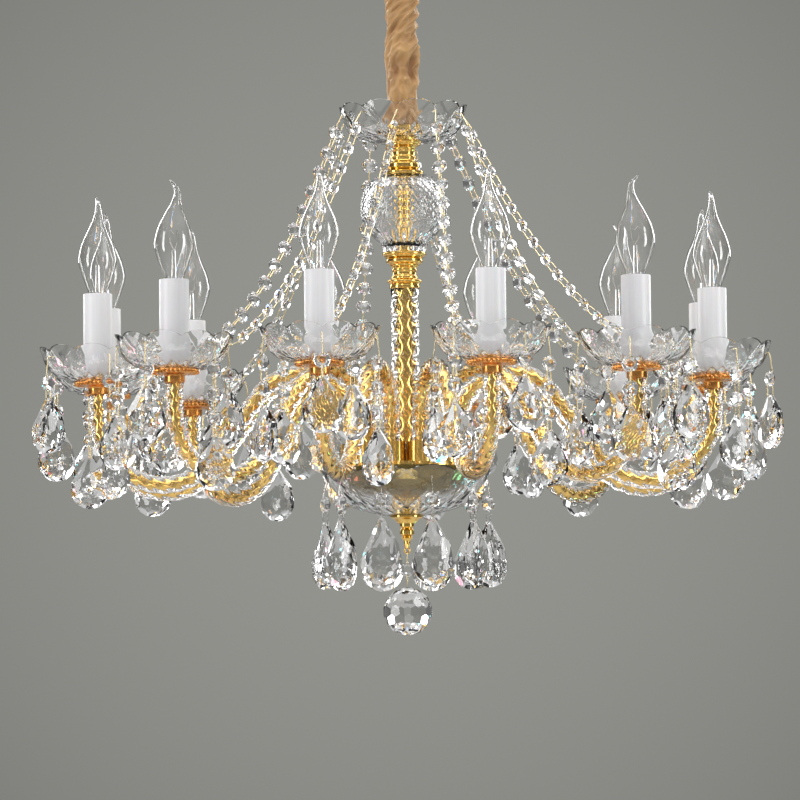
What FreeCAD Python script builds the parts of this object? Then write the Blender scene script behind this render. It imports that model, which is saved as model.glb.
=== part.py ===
"""Crystal chandelier: twelve glass arms on a central stem, hung from the ceiling by a chain.

Millimetres. The origin is where the fixture's axis meets the ceiling, +Z is up and -Y is the front.
An azimuth is counted in degrees from the front, towards +X.
"""
import FreeCAD, Part
import math
import os

Vector = FreeCAD.Vector
UP = Vector(0, 0, 1)

# ---------------------------------------------------------------- driving sizes
# clearances
seat_gap = 0.3            # between curved pieces that rest on each other
rod_fit = 0.15            # radial, round the central rod and the arm tubes
glass_fit = 0.3           # radial, round a glass end in its cup

# ceiling parts
bracket_length = 96.0
bracket_width = 24.0
bracket_thickness = 2.5
bracket_boss_r = 9.0
bracket_boss_depth = 12.0
fixing_spacing = 70.0
fixing_hole_r = 2.6
canopy_r = 60.0
canopy_rim = 4.0          # straight rim against the ceiling
canopy_depth = 42.0
canopy_foot_r = 15.0
canopy_wall = 1.2
hook_shank_r = 5.0
hook_ring_r = 8.0         # to the middle of the wire
hook_wire_d = 3.4
collar_r = 11.0
collar_height = 5.0
collar_ridges = 20

# chain and its fabric sleeve
link_count = 7
link_wire_d = 3.0
link_width = 17.0
sleeve_top_z = -84.0
sleeve_r = 13.2
sleeve_bore_r = 10.4

# top bowl, and the loop nut in it
top_bowl_rim_z = -193.0
top_bowl_r = 58.4
top_bowl_depth = 33.0
scallops = 10
scallop_drop = 5.4
top_bowl_notch_az = -5.0
bowl_wall = 3.2
loop_nut_r = 12.0
loop_nut_height = 9.2
loop_ring_r = 8.0
hanger_hole_r = 1.5       # holes for the wire hangers in every bowl
hanger_drop = 4.6         # from a notch down to its hole

# stem
rod_r = 6.0
rod_bore_r = 4.2
rod_tail_r = 3.6          # threaded tail that holds the finial
rod_tail_length = 9.0
neck_height = 30.0
neck_flange_r = 16.5
neck_waist_r = 10.5
neck_bead_r = 14.5
neck_foot_r = 18.0
baluster_height = 70.5
baluster_r = 39.5
baluster_end_r = 19.0
baluster_wall = 6.0
stem_collar_height = 33.5
stem_collar_r = 20.0
stem_collar_waist_r = 10.8
column_r = 13.0
column_bore_r = 8.0
column_height = 157.0
column_ribs = 6
column_rib_depth = 1.3
column_rib_pitch = 17.5   # from one rib to the next, along the column
column_sections = 18      # in each full turn of a rib

# arm receiver
arm_count = 12
first_arm_az = 15.0
cup_circle_r = 49.0
cup_r = 12.0
cup_height = 18.3
cup_floor = 4.0
plate_r = 62.0
plate_thickness = 3.0
hub_r = 18.0
hub_height = 3.0
nut_across = 13.0
nut_height = 6.0
pan_depth = 30.0          # brass pan under the plate
pan_foot_r = 14.0
pan_wall = 1.5

# glass arms
arm_r = 8.0
arm_tip_r = 6.3
arm_rise = 30.0           # straight up out of the cup
arch_r = 48.0
trough_r = 58.0
trough_lift = 4.5         # centre of the trough above the centre of the arch
arm_reach = 284.0
arm_tip_rise = 27.5
tube_r = 3.0
tube_bore_r = 2.1

# candle on each arm, heights from the middle of its brass ring
gallery_r = 22.2
gallery_thickness = 4.5
gallery_teeth = 28
gallery_tooth_r = 2.0
socket_r = 9.0            # brass socket under the ring, over the arm's tip
socket_depth = 6.75
tip_inset = 1.75          # arm tip under the ring
bobeche_r = 52.3
bobeche_height = 30.75
bobeche_wall = 3.0
bobeche_foot_r = 22.0
candle_r = 13.0
candle_wall = 1.5
candle_height = 75.75
holder_height = 61.0
holder_fit = 0.3
holder_bore_r = 2.0       # for the wires
tube_end_room = 5.0       # bore in the holder's foot for the arm tube's end
lamp_cap_r = 7.0
lamp_cap_height = 24.7
lamp_cap_sink = 20.0      # how far the cap goes into the holder
bulb_r = 17.5
bulb_length = 98.0
bulb_neck_r = 8.2
bulb_wall = 0.7
bulb_tip_r = 1.1
stem_length = 36.0

# bottom bowl, end cap and finial
bottom_bowl_r = 78.0
bottom_bowl_depth = 42.0
bottom_bowl_rim_rise = 1.0  # rim below the plate's under side
bottom_hook_az = 18.0
bottom_hook_drop = 10.0   # hanger holes below the rim
cap_r = 15.0
cap_height = 7.0
finial_r = 6.5
finial_height = 22.0
eye_r = 2.4
eye_wire_d = 1.4

# crystal and its wires
wire_d = 1.0
wire_gap = 5.6            # between the two legs of a link
bead_across = 13.6
bead_thickness = 7.0
bead_edge = 1.2
bead_table_r = 3.2
bead_hole = 5.0           # from a bead's middle to its holes
crystal_hole_r = 1.15
drill_length = 40.0       # longer than any crystal is thick
link_play = 0.4           # a link bears this far past the middle of a hole
bead_pitch = 21.4
drop_turn = 48.0          # how far a drop at the side turns away from the front, in degrees
drop_wander = 14.0        # and how unevenly
drop_width = 35.0
drop_height = 49.0
drop_depth = 13.0
bottom_drop_width = 37.0
bottom_drop_height = 60.0
bottom_drop_depth = 14.0
tip_radii = (3.3, 1.9, 3.2)
hanger_length = 18.5      # from a bobeche's hole to the first bead's hole
bottom_hanger_length = 16.5
bottom_link_length = 14.0
hanger_stand_off = 1.8    # wire's middle outside the glass
ball_r = 21.5
ball_lug = (4.3, 1.7, 4.0)
ball_bead_drop = 10.8     # from the eye down to the bead's upper hole
ball_link_length = 9.4
garland_sag = 34.0
garland_end = 19.0        # from the glass's hole to the middle of the end bead

# hooks that carry drops, as azimuths from the arm's outward line, and the beads on each
drop_hooks = ((18.0, 1), (90.0, 3), (162.0, 1), (234.0, 2), (306.0, 2))
# garlands: notch of the top bowl, counted round from the first, azimuth of the arm, and hook on its dish
garlands = ((0, -15.0, 198.0), (1, 15.0, 198.0), (2, 45.0, 198.0), (3, 45.0, 126.0), (4, 135.0, 198.0),
            (5, 165.0, 198.0), (6, -165.0, 198.0), (7, -135.0, 198.0), (8, -45.0, 198.0), (9, -45.0, 126.0))

# ---------------------------------------------------------------- levels, from the top down
link_step = link_wire_d + seat_gap
hook_ring_z = -canopy_depth - collar_height - hook_wire_d / 2 - hook_ring_r
hook_contact_z = hook_ring_z - hook_ring_r
bowl_foot_z = top_bowl_rim_z - top_bowl_depth
bowl_floor_z = bowl_foot_z + bowl_wall
nut_top_z = bowl_floor_z + loop_nut_height
loop_ring_z = nut_top_z + hook_wire_d / 2 + loop_ring_r - seat_gap
loop_contact_z = loop_ring_z + loop_ring_r
link_length = (hook_contact_z - loop_contact_z + (link_count + 1) * link_step) / link_count
baluster_top_z = bowl_foot_z - neck_height
stem_collar_top_z = baluster_top_z - baluster_height
column_top_z = stem_collar_top_z - stem_collar_height
hub_top_z = column_top_z - column_height
plate_top_z = hub_top_z - hub_height
plate_foot_z = plate_top_z - plate_thickness
cup_floor_z = plate_top_z + cup_floor
gallery_z = cup_floor_z + arm_rise + trough_lift + arm_tip_rise + tip_inset + gallery_thickness / 2
pan_foot_z = plate_foot_z - pan_depth
bottom_rim_z = plate_foot_z - bottom_bowl_rim_rise
bottom_foot_z = bottom_rim_z - bottom_bowl_depth
finial_top_z = bottom_foot_z - cap_height
finial_foot_z = finial_top_z - finial_height
eye_z = finial_foot_z - eye_r
top_hole_z = top_bowl_rim_z - scallop_drop - hanger_drop
bobeche_hole_z = gallery_thickness / 2 + bobeche_height - scallop_drop - hanger_drop
bottom_hole_z = bottom_rim_z - bottom_hook_drop


# ---------------------------------------------------------------- helpers
def polar(radius, azimuth, z):
    """Point at a radius and an azimuth from the front."""
    turn = math.radians(azimuth)
    return Vector(radius * math.sin(turn), -radius * math.cos(turn), z)


def turned(outline, top_z=0.0):
    """Solid of revolution about Z. The outline lists (radius, height), and goes round a closed section."""
    points = [Vector(radius, 0, top_z + height) for radius, height in outline]
    face = Part.Face(Part.makePolygon(points + points[:1]))
    return face.revolve(Vector(0, 0, 0), UP, 360)


def drilled_rod(radius, bore, low, high):
    """Upright tube between two levels."""
    outer = Part.makeCylinder(radius, high - low, Vector(0, 0, low))
    return outer.cut(Part.makeCylinder(bore, high - low, Vector(0, 0, low)))


def moved(shape, place, azimuth=0.0):
    """Copy of a shape, turned about Z and set at a point."""
    copy = shape.copy()
    copy.rotate(Vector(0, 0, 0), UP, azimuth)
    copy.translate(place)
    return copy


def aligned(shape, place, along, facing):
    """Copy of a shape whose +Z goes along one direction and whose -Y looks at another."""
    z_axis = Vector(along).normalize()
    x_axis = z_axis.cross(facing).normalize()
    y_axis = z_axis.cross(x_axis)
    matrix = FreeCAD.Matrix(x_axis.x, y_axis.x, z_axis.x, place.x,
                            x_axis.y, y_axis.y, z_axis.y, place.y,
                            x_axis.z, y_axis.z, z_axis.z, place.z, 0, 0, 0, 1)
    copy = shape.copy()
    copy.Placement = FreeCAD.Placement(matrix).multiply(shape.Placement)
    return copy


def rounded_path(points, bend_r):
    """Wire of straight runs joined by tangent arcs."""
    edges = []
    start = points[0]
    for before, corner, after in zip(points, points[1:], points[2:]):
        way_in = (corner - before).normalize()
        way_out = (after - corner).normalize()
        half = way_in.getAngle(way_out) / 2
        setback = bend_r * math.tan(half)
        arc_start = corner - way_in * setback
        arc_end = corner + way_out * setback
        bisector = (way_out - way_in).normalize()
        middle = corner + bisector * (bend_r / math.cos(half) - bend_r)
        edges.append(Part.LineSegment(start, arc_start).toShape())
        edges.append(Part.Arc(arc_start, middle, arc_end).toShape())
        start = arc_end
    edges.append(Part.LineSegment(start, points[-1]).toShape())
    return Part.Wire(edges)


def swept(path, radius):
    """Round bar along a wire."""
    start = path.Edges[0].valueAt(path.Edges[0].FirstParameter)
    tangent = path.Edges[0].tangentAt(path.Edges[0].FirstParameter)
    ring = Part.Wire(Part.makeCircle(radius, start, tangent))
    return path.makePipeShell([ring], True, True)


def oval_link(length, width, wire):
    """Closed link in the XZ plane, from its upper contact at z = 0 down to -length, on the wire's middle."""
    half = width / 2
    low = -length + half
    top_arc = Part.Arc(Vector(-half, 0, -half), Vector(0, 0, 0), Vector(half, 0, -half))
    low_arc = Part.Arc(Vector(half, 0, low), Vector(0, 0, -length), Vector(-half, 0, low))
    right = Part.LineSegment(Vector(half, 0, -half), Vector(half, 0, low))
    left = Part.LineSegment(Vector(-half, 0, low), Vector(-half, 0, -half))
    path = Part.Wire([left.toShape(), top_arc.toShape(), right.toShape(), low_arc.toShape()])
    ring = Part.Wire(Part.makeCircle(wire / 2, Vector(-half, 0, low), UP))
    return path.makePipeShell([ring], True, True)


def save(name, shapes):
    """Write one STEP file for a node."""
    shape = shapes[0] if len(shapes) == 1 else Part.makeCompound(shapes)
    shape.exportStep("parts/%s.step" % name)
    print("%-16s %4d solids %6d faces" % (name, len(shape.Solids), len(shape.Faces)))


# ---------------------------------------------------------------- cut crystal
def clip(faces, normal, offset):
    """Cut a convex body, given as loops of points, by a plane and close the cut with a new facet."""
    heights = [[round(normal.dot(point) - offset, 7) for point in face] for face in faces]
    if max(max(above) for above in heights) <= 0:
        return faces
    kept, rim = [], []
    for face, above in zip(faces, heights):
        loop = []
        for start, end, from_plane, to_plane in zip(face, face[1:] + face[:1], above, above[1:] + above[:1]):
            if from_plane <= 0:
                loop.append(start)
            if from_plane == 0:
                rim.append(start)
            if from_plane * to_plane < 0:
                crossing = start + (end - start) * (from_plane / (from_plane - to_plane))
                loop.append(crossing)
                rim.append(crossing)
        if len(loop) > 2:
            kept.append(loop)
    middle = sum(rim[1:], rim[0]) * (1.0 / len(rim))
    across = (rim[0] - middle).normalize()
    beside = normal.cross(across)
    rim.sort(key=lambda point: math.atan2((point - middle).dot(beside), (point - middle).dot(across)))
    facet = [point for point, last in zip(rim, rim[-1:] + rim) if (point - last).Length > 1e-5]
    return kept + [facet] if len(facet) > 2 else kept


def gem(planes, half_size):
    """Convex cut stone inside a list of (outward normal, distance) planes."""
    corners = [Vector(x, y, z) * half_size for x in (-1, 1) for y in (-1, 1) for z in (-1, 1)]
    sides = ((0, 1, 3, 2), (4, 6, 7, 5), (0, 4, 5, 1), (2, 3, 7, 6), (0, 2, 6, 4), (1, 5, 7, 3))
    faces = [[corners[index] for index in side] for side in sides]
    for normal, offset in planes:
        faces = clip(faces, normal, offset)
    shell = Part.makeShell([Part.Face(Part.makePolygon(loop + loop[:1])) for loop in faces])
    shell.sewShape(1e-4)
    return Part.makeSolid(shell)


def reach(normal, centre, radii):
    """How far an ellipsoid reaches along a direction."""
    stretch = Vector(normal.x * radii[0], normal.y * radii[1], normal.z * radii[2])
    return normal.dot(centre) + stretch.Length


def hole_through(z):
    """Drill for a wire hole along Y."""
    return Part.makeCylinder(crystal_hole_r, drill_length, Vector(0, -drill_length / 2, z), Vector(0, 1, 0))


def almond(width, height, depth, count):
    """Almond-shaped drop with staggered rings of facets. Its wire hole is at the origin."""
    tip_centre = Vector(0, 0, 0)
    body_radii = (width / 2, depth / 2, width / 2)
    body_centre = Vector(0, 0, tip_radii[2] - height + width / 2)
    planes = [(Vector(0, side, 0), depth / 2 * 0.985) for side in (-1, 1)]
    for ring, share in enumerate((0.30, 0.57, 0.81, 1.0)):
        ring_count = 2 * count if share == 1.0 else count
        for step in range(ring_count):
            turn = 2 * math.pi * (step + 0.5 * (ring % 2) + 0.13) / ring_count
            slope = math.sqrt(1 - share * share)
            for side in (-1, 1) if slope > 0 else (1,):
                normal = Vector(share * math.cos(turn) / body_radii[0], side * slope / body_radii[1],
                                share * math.sin(turn) / body_radii[2]).normalize()
                planes.append((normal, max(reach(normal, body_centre, body_radii),
                                           reach(normal, tip_centre, tip_radii))))
    return gem(planes, 2 * height).cut(hole_through(0))


def octagon_bead():
    """Flat eight-sided bead in the XZ plane with two wire holes, about the origin."""
    apothem = bead_across / 2
    rise = (bead_thickness - bead_edge) / 2
    run = apothem - bead_table_r
    planes = [(Vector(0, side, 0), bead_thickness / 2) for side in (-1, 1)]
    for step in range(8):
        turn = math.radians(45.0 * step + 22.5)
        outward = Vector(math.cos(turn), 0, math.sin(turn))
        planes.append((outward, apothem))
        for side in (-1, 1):
            normal = (outward * rise + Vector(0, side * run, 0)).normalize()
            edge = outward * apothem + Vector(0, side * bead_edge / 2, 0)
            planes.append((normal, normal.dot(edge)))
    bead = gem(planes, 2 * bead_across)
    return bead.cut([hole_through(bead_hole), hole_through(-bead_hole)])


def faceted_ball():
    """Round ball cut in bands, with a lug on top. The lug's wire hole is at the origin."""
    centre = Vector(0, 0, -ball_r - ball_lug[2] / 2)
    planes = [(UP * side, ball_r * 0.99 + side * centre.z) for side in (-1, 1)]
    for band, latitude in enumerate((-68, -45, -22.5, 0, 22.5, 45, 68)):
        count = 8 if abs(latitude) > 60 else 16
        for step in range(count):
            turn = 2 * math.pi * (step + 0.5 * (band % 2) + 0.11) / count
            level = math.cos(math.radians(latitude))
            normal = Vector(level * math.cos(turn), level * math.sin(turn), math.sin(math.radians(latitude)))
            planes.append((normal, ball_r + normal.dot(centre)))
    lug = Part.makeBox(2 * ball_lug[0], 2 * ball_lug[1], 2 * ball_lug[2],
                       Vector(-ball_lug[0], -ball_lug[1], -1.5 * ball_lug[2] + 0.5))
    return gem(planes, 4 * ball_r).fuse(lug).removeSplitter().cut(hole_through(0))


def crystal_link(hole_to_hole):
    """Wire link in the YZ plane between two holes; the upper hole is at the origin."""
    link = oval_link(hole_to_hole + 2 * link_play, wire_gap, wire_d)
    link.rotate(Vector(0, 0, 0), UP, 90)
    link.translate(Vector(0, 0, link_play))
    return link


def hanger(inside, outside, hole, facing):
    """Wire through a hole in glass, and on down through the hole of what hangs from it."""
    reach_side = 0.5 * wire_gap if facing.dot(outside - inside) > 0 else -0.5 * wire_gap
    near = hole + facing * reach_side
    far = hole - facing * reach_side
    return swept(rounded_path([inside, outside, near, far], 0.9 * wire_d), wire_d / 2)


def outer_radius(outline, level):
    """Radius of an outline's outer side, which it lists first and downwards, at a level."""
    for (upper_r, upper_z), (lower_r, lower_z) in zip(outline, outline[1:]):
        if lower_z <= level <= upper_z:
            return lower_r + (upper_r - lower_r) * (level - lower_z) / (upper_z - lower_z)
    return outline[0][0]


def wall_hole(outline, wall, azimuth, level):
    """Where a wire comes out of a hole in a bowl's wall, as points inside and outside the bowl."""
    middle = outer_radius(outline, level) - 0.55 * wall
    past = 0.55 * wall + hanger_stand_off
    return polar(middle - past, azimuth, level), polar(middle + past, azimuth, level)


# ---------------------------------------------------------------- glass bowls
def scallop_cutter(radius, rim_z, notch_z, width):
    """Prism that takes away the glass round one notch, between the arcs of two scallops."""
    near, far = radius * 0.6, radius * 1.2
    rise = rim_z - notch_z
    bow = 0.30 * rise
    top = rim_z + rise
    left = Part.Arc(Vector(-width, near, rim_z), Vector(-width * 0.45, near, rim_z - bow),
                    Vector(0, near, notch_z))
    right = Part.Arc(Vector(0, near, notch_z), Vector(width * 0.45, near, rim_z - bow),
                     Vector(width, near, rim_z))
    lid = Part.makePolygon([Vector(width, near, rim_z), Vector(width, near, top), Vector(-width, near, top),
                            Vector(-width, near, rim_z)])
    outline = Part.Wire([left.toShape(), right.toShape()] + lid.Edges)
    return Part.Face(outline).extrude(Vector(0, far - near, 0))


def scalloped_bowl(outline, first_notch, hole_azimuths, hole_z):
    """Glass dish with a scalloped rim and holes for wires. The outline is that of its closed section."""
    bowl = turned(outline)
    radius, rim_z = outline[0]
    step = 360.0 / scallops
    width = radius * math.sin(math.radians(step / 2))
    cutter = scallop_cutter(radius, rim_z, rim_z - scallop_drop, width)
    notches = [moved(cutter, Vector(0, 0, 0), first_notch + 180 + step * index) for index in range(scallops)]
    holes = [Part.makeCylinder(hanger_hole_r, radius * 0.6, polar(radius * 0.6, azimuth, hole_z),
                               polar(1, azimuth, 0)) for azimuth in hole_azimuths]
    return bowl.cut(notches + holes)


def ring_azimuths(first):
    return [first + 360.0 / scallops * index for index in range(scallops)]


def top_bowl_outline():
    foot, rim, wall = bowl_foot_z, top_bowl_rim_z, bowl_wall
    return [(top_bowl_r, rim), (0.90 * top_bowl_r, foot + 0.42 * top_bowl_depth),
            (0.72 * top_bowl_r, foot + 0.10 * top_bowl_depth), (0.30 * top_bowl_r, foot),
            (rod_r + rod_fit, foot), (rod_r + rod_fit, foot + wall), (0.30 * top_bowl_r, foot + wall),
            (0.72 * top_bowl_r - 0.6 * wall, foot + 0.10 * top_bowl_depth + wall),
            (0.90 * top_bowl_r - wall, foot + 0.42 * top_bowl_depth), (top_bowl_r - 0.9 * wall, rim)]


def top_bowl():
    return scalloped_bowl(top_bowl_outline(), top_bowl_notch_az, ring_azimuths(top_bowl_notch_az), top_hole_z)


def bobeche_outline():
    """Section of a candle's drip dish; its brass ring's middle is at z = 0."""
    foot, wall = gallery_thickness / 2, bobeche_wall
    return [(bobeche_r, foot + bobeche_height), (0.945 * bobeche_r, foot + 0.70 * bobeche_height),
            (0.865 * bobeche_r, foot + 0.40 * bobeche_height),
            (0.745 * bobeche_r, foot + 0.18 * bobeche_height),
            (0.60 * bobeche_r, foot + 0.05 * bobeche_height), (bobeche_foot_r, foot),
            (tube_r + rod_fit, foot), (tube_r + rod_fit, foot + wall), (bobeche_foot_r, foot + wall),
            (0.60 * bobeche_r - 0.3 * wall, foot + 0.05 * bobeche_height + wall),
            (0.745 * bobeche_r - 0.7 * wall, foot + 0.18 * bobeche_height + 0.7 * wall),
            (0.865 * bobeche_r - wall, foot + 0.40 * bobeche_height + 0.2 * wall),
            (0.945 * bobeche_r - wall, foot + 0.70 * bobeche_height),
            (bobeche_r - 0.8 * wall, foot + bobeche_height)]


def bobeche():
    """Scalloped drip dish with a hole under every notch."""
    first = drop_hooks[0][0]
    return scalloped_bowl(bobeche_outline(), first, ring_azimuths(first), bobeche_hole_z)


def bottom_bowl_outline():
    rim, foot, wall, depth = bottom_rim_z, bottom_foot_z, bowl_wall, bottom_bowl_depth
    return [(bottom_bowl_r, rim), (0.955 * bottom_bowl_r, rim - 0.14 * depth),
            (0.865 * bottom_bowl_r, rim - 0.40 * depth), (0.70 * bottom_bowl_r, rim - 0.73 * depth),
            (0.48 * bottom_bowl_r, rim - 0.90 * depth), (0.20 * bottom_bowl_r, foot),
            (rod_r + rod_fit, foot), (rod_r + rod_fit, foot + wall), (0.20 * bottom_bowl_r, foot + wall),
            (0.48 * bottom_bowl_r - 0.4 * wall, rim - 0.90 * depth + wall),
            (0.70 * bottom_bowl_r - 0.7 * wall, rim - 0.73 * depth + 0.8 * wall),
            (0.865 * bottom_bowl_r - wall, rim - 0.40 * depth + 0.2 * wall),
            (0.955 * bottom_bowl_r - wall, rim - 0.14 * depth), (bottom_bowl_r - 0.9 * wall, rim)]


def bottom_bowl():
    return scalloped_bowl(bottom_bowl_outline(), 0.0, ring_azimuths(bottom_hook_az), bottom_hole_z)


# ---------------------------------------------------------------- ceiling parts, chain and sleeve
def ceiling_bracket():
    bar = Part.makeBox(bracket_length, bracket_width, bracket_thickness,
                       Vector(-bracket_length / 2, -bracket_width / 2, -bracket_thickness))
    boss = Part.makeCylinder(bracket_boss_r, bracket_boss_depth, Vector(0, 0, -bracket_boss_depth))
    holes = [Part.makeCylinder(fixing_hole_r, bracket_thickness, Vector(side * fixing_spacing / 2, 0,
                                                                      -bracket_thickness))
             for side in (-1, 1)]
    thread = Part.makeCylinder(hook_shank_r + rod_fit, bracket_boss_depth, Vector(0, 0, -bracket_boss_depth))
    return bar.fuse(boss).removeSplitter().cut(holes + [thread])


def canopy():
    wall, depth, foot = canopy_wall, canopy_depth, canopy_foot_r
    outline = [(canopy_r, 0), (canopy_r, -canopy_rim), (0.93 * canopy_r, -0.25 * depth),
               (0.78 * canopy_r, -0.48 * depth), (0.55 * canopy_r, -0.70 * depth),
               (foot + 3, -0.88 * depth), (foot, -depth), (hook_shank_r + rod_fit, -depth),
               (hook_shank_r + rod_fit, -depth + wall), (foot - wall, -depth + wall),
               (foot + 2, -0.88 * depth + wall), (0.55 * canopy_r - wall, -0.70 * depth + wall),
               (0.78 * canopy_r - wall, -0.48 * depth + wall), (0.93 * canopy_r - wall, -0.25 * depth + wall),
               (canopy_r - wall, -canopy_rim), (canopy_r - wall, 0)]
    return turned(outline)


def canopy_collar():
    ring = drilled_rod(collar_r, hook_shank_r + rod_fit, -canopy_depth - collar_height, -canopy_depth)
    ridge = Part.makeCylinder(0.8, collar_height, Vector(collar_r, 0, -canopy_depth - collar_height))
    ridges = [moved(ridge, Vector(0, 0, 0), 360.0 / collar_ridges * step) for step in range(collar_ridges)]
    return ring.cut(ridges)


def hanging_hook():
    """Threaded shank with a closed ring in the XZ plane."""
    shank_foot = hook_ring_z + hook_ring_r - hook_wire_d / 2
    shank = Part.makeCylinder(hook_shank_r, -shank_foot - 1.0, Vector(0, 0, shank_foot))
    ring = Part.makeTorus(hook_ring_r, hook_wire_d / 2, Vector(0, 0, hook_ring_z), Vector(0, 1, 0))
    gap = Part.makeCylinder(hook_ring_r - hook_wire_d / 2, 3 * hook_shank_r,
                            Vector(0, -1.5 * hook_shank_r, hook_ring_z), Vector(0, 1, 0))
    return shank.cut(gap).fuse(ring).removeSplitter()


def chain_link(index):
    """One link; the first hangs in the hook's ring, and each next one is a quarter turn round."""
    link = oval_link(link_length, link_width - link_wire_d, link_wire_d)
    top_z = hook_contact_z + link_step - index * (link_length - link_step)
    return moved(link, Vector(0, 0, top_z), 90 if index % 2 == 0 else 0)


def top_loop():
    """Nut on the rod's upper end, with the ring that hangs from the chain."""
    nut = Part.makeCylinder(loop_nut_r, loop_nut_height, Vector(0, 0, bowl_floor_z))
    thread = Part.makeCylinder(rod_r + rod_fit, loop_nut_height - 3, Vector(0, 0, bowl_floor_z))
    ring = Part.makeTorus(loop_ring_r, hook_wire_d / 2, Vector(0, 0, loop_ring_z), Vector(0, 1, 0))
    return nut.cut(thread).fuse(ring).removeSplitter()


def fabric_sleeve():
    """Gathered satin tube over the chain, without its folds."""
    return drilled_rod(sleeve_r, sleeve_bore_r, nut_top_z + seat_gap, sleeve_top_z)


# ---------------------------------------------------------------- stem
def upper_neck():
    bore, height, waist = rod_r + rod_fit, neck_height, neck_waist_r
    outline = [(bore, 0), (neck_flange_r, 0), (neck_flange_r, -0.13 * height), (waist + 1, -0.17 * height),
               (waist, -0.27 * height), (waist, -0.53 * height), (waist + 1, -0.65 * height),
               (neck_bead_r, -0.67 * height), (neck_bead_r, -0.82 * height), (waist + 2, -0.84 * height),
               (neck_foot_r, -0.87 * height), (neck_foot_r, -height), (bore, -height)]
    return turned(outline, bowl_foot_z)


def baluster():
    """Hollow cut-glass urn."""
    height, wide, end, wall = baluster_height, baluster_r, baluster_end_r, baluster_wall
    bore = rod_r + rod_fit
    outline = [(bore, 0), (end, 0), (end + 8, -0.035 * height), (end + 15, -0.13 * height),
               (0.965 * wide, -0.29 * height), (wide, -0.45 * height), (0.94 * wide, -0.61 * height),
               (0.76 * wide, -0.77 * height), (0.55 * wide, -0.90 * height), (end, -0.95 * height),
               (end, -height), (bore, -height), (bore, -height + wall), (end - wall, -height + wall),
               (0.76 * wide - wall, -0.77 * height), (0.94 * wide - wall, -0.61 * height),
               (wide - wall, -0.45 * height), (0.965 * wide - wall, -0.29 * height),
               (end + 15 - wall, -0.13 * height - 0.5 * wall), (end, -wall), (bore, -wall)]
    return turned(outline, baluster_top_z)


def stem_collar():
    bore, height, wide, waist = rod_r + rod_fit, stem_collar_height, stem_collar_r, stem_collar_waist_r
    outline = [(bore, 0), (0.97 * wide, 0), (wide, -0.10 * height), (0.92 * wide, -0.16 * height),
               (0.67 * wide, -0.18 * height), (0.82 * wide, -0.21 * height), (0.82 * wide, -0.33 * height),
               (0.67 * wide, -0.36 * height), (waist, -0.39 * height), (waist, -0.66 * height),
               (waist + 1.2, -0.76 * height), (0.80 * wide, -0.79 * height), (0.80 * wide, -0.85 * height),
               (waist + 1.7, -0.88 * height), (column_r, -height), (bore, -height)]
    return turned(outline, stem_collar_top_z)


def ribbed_section(radius, depth, ribs, z, turn):
    """Closed ring of outward arcs, one for each rib."""
    points = []
    for step in range(2 * ribs):
        points.append(polar(radius if step % 2 else radius - depth, turn + 180.0 / ribs * step, z))
    arcs = [Part.Arc(points[step], points[step + 1], points[(step + 2) % (2 * ribs)])
            for step in range(0, 2 * ribs, 2)]
    return Part.Wire([arc.toShape() for arc in arcs])


def column():
    """Glass column with ribs that wind round it."""
    full_turn = column_rib_pitch * column_ribs
    steps = int(math.ceil(column_height / full_turn * column_sections))
    sections = []
    for index in range(steps + 1):
        z = column_top_z - column_height * index / steps
        turn = 360.0 * (column_top_z - z) / full_turn
        sections.append(ribbed_section(column_r, column_rib_depth, column_ribs, z, turn))
    body = Part.makeLoft(sections, True)
    return body.cut(Part.makeCylinder(column_bore_r, column_height, Vector(0, 0, hub_top_z)))


def centre_rod():
    """Tube through the whole stem, with a threaded tail for the finial."""
    tube = drilled_rod(rod_r, rod_bore_r, finial_top_z + 2.0, nut_top_z - 3.5)
    plug = Part.makeCylinder(rod_r, 2.0, Vector(0, 0, finial_top_z))
    tail = Part.makeCylinder(rod_tail_r, rod_tail_length, Vector(0, 0, finial_top_z - rod_tail_length))
    return tube.fuse([plug, tail]).removeSplitter()


def arm_azimuths():
    return [first_arm_az + 360.0 / arm_count * index for index in range(arm_count)]


def arm_receiver():
    """Plate with a cup for each arm and a hub for the column."""
    plate = drilled_rod(plate_r, rod_r + rod_fit, plate_foot_z, plate_top_z)
    hub = drilled_rod(hub_r, rod_r + rod_fit, plate_top_z, hub_top_z)
    body = plate.fuse([hub] + [Part.makeCylinder(cup_r, cup_height, polar(cup_circle_r, azimuth, plate_top_z))
                               for azimuth in arm_azimuths()]).removeSplitter()
    cuts = []
    for azimuth in arm_azimuths():
        cuts.append(Part.makeCylinder(arm_r + glass_fit, cup_height,
                                      polar(cup_circle_r, azimuth, cup_floor_z)))
        cuts.append(Part.makeCylinder(tube_r + rod_fit, cup_floor + plate_thickness,
                                      polar(cup_circle_r, azimuth, plate_foot_z)))
    return body.cut(cuts)


def arm_nuts():
    """Hexagon nuts that hold the arm tubes under the plate."""
    corners = [polar(nut_across / 2 / math.cos(math.radians(30)), 60.0 * step, 0) for step in range(7)]
    blank = Part.Face(Part.makePolygon(corners)).extrude(Vector(0, 0, -nut_height))
    nut = blank.cut(Part.makeCylinder(tube_r + rod_fit, nut_height, Vector(0, 0, -nut_height)))
    return [moved(nut, polar(cup_circle_r, azimuth, plate_foot_z), azimuth) for azimuth in arm_azimuths()]


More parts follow.
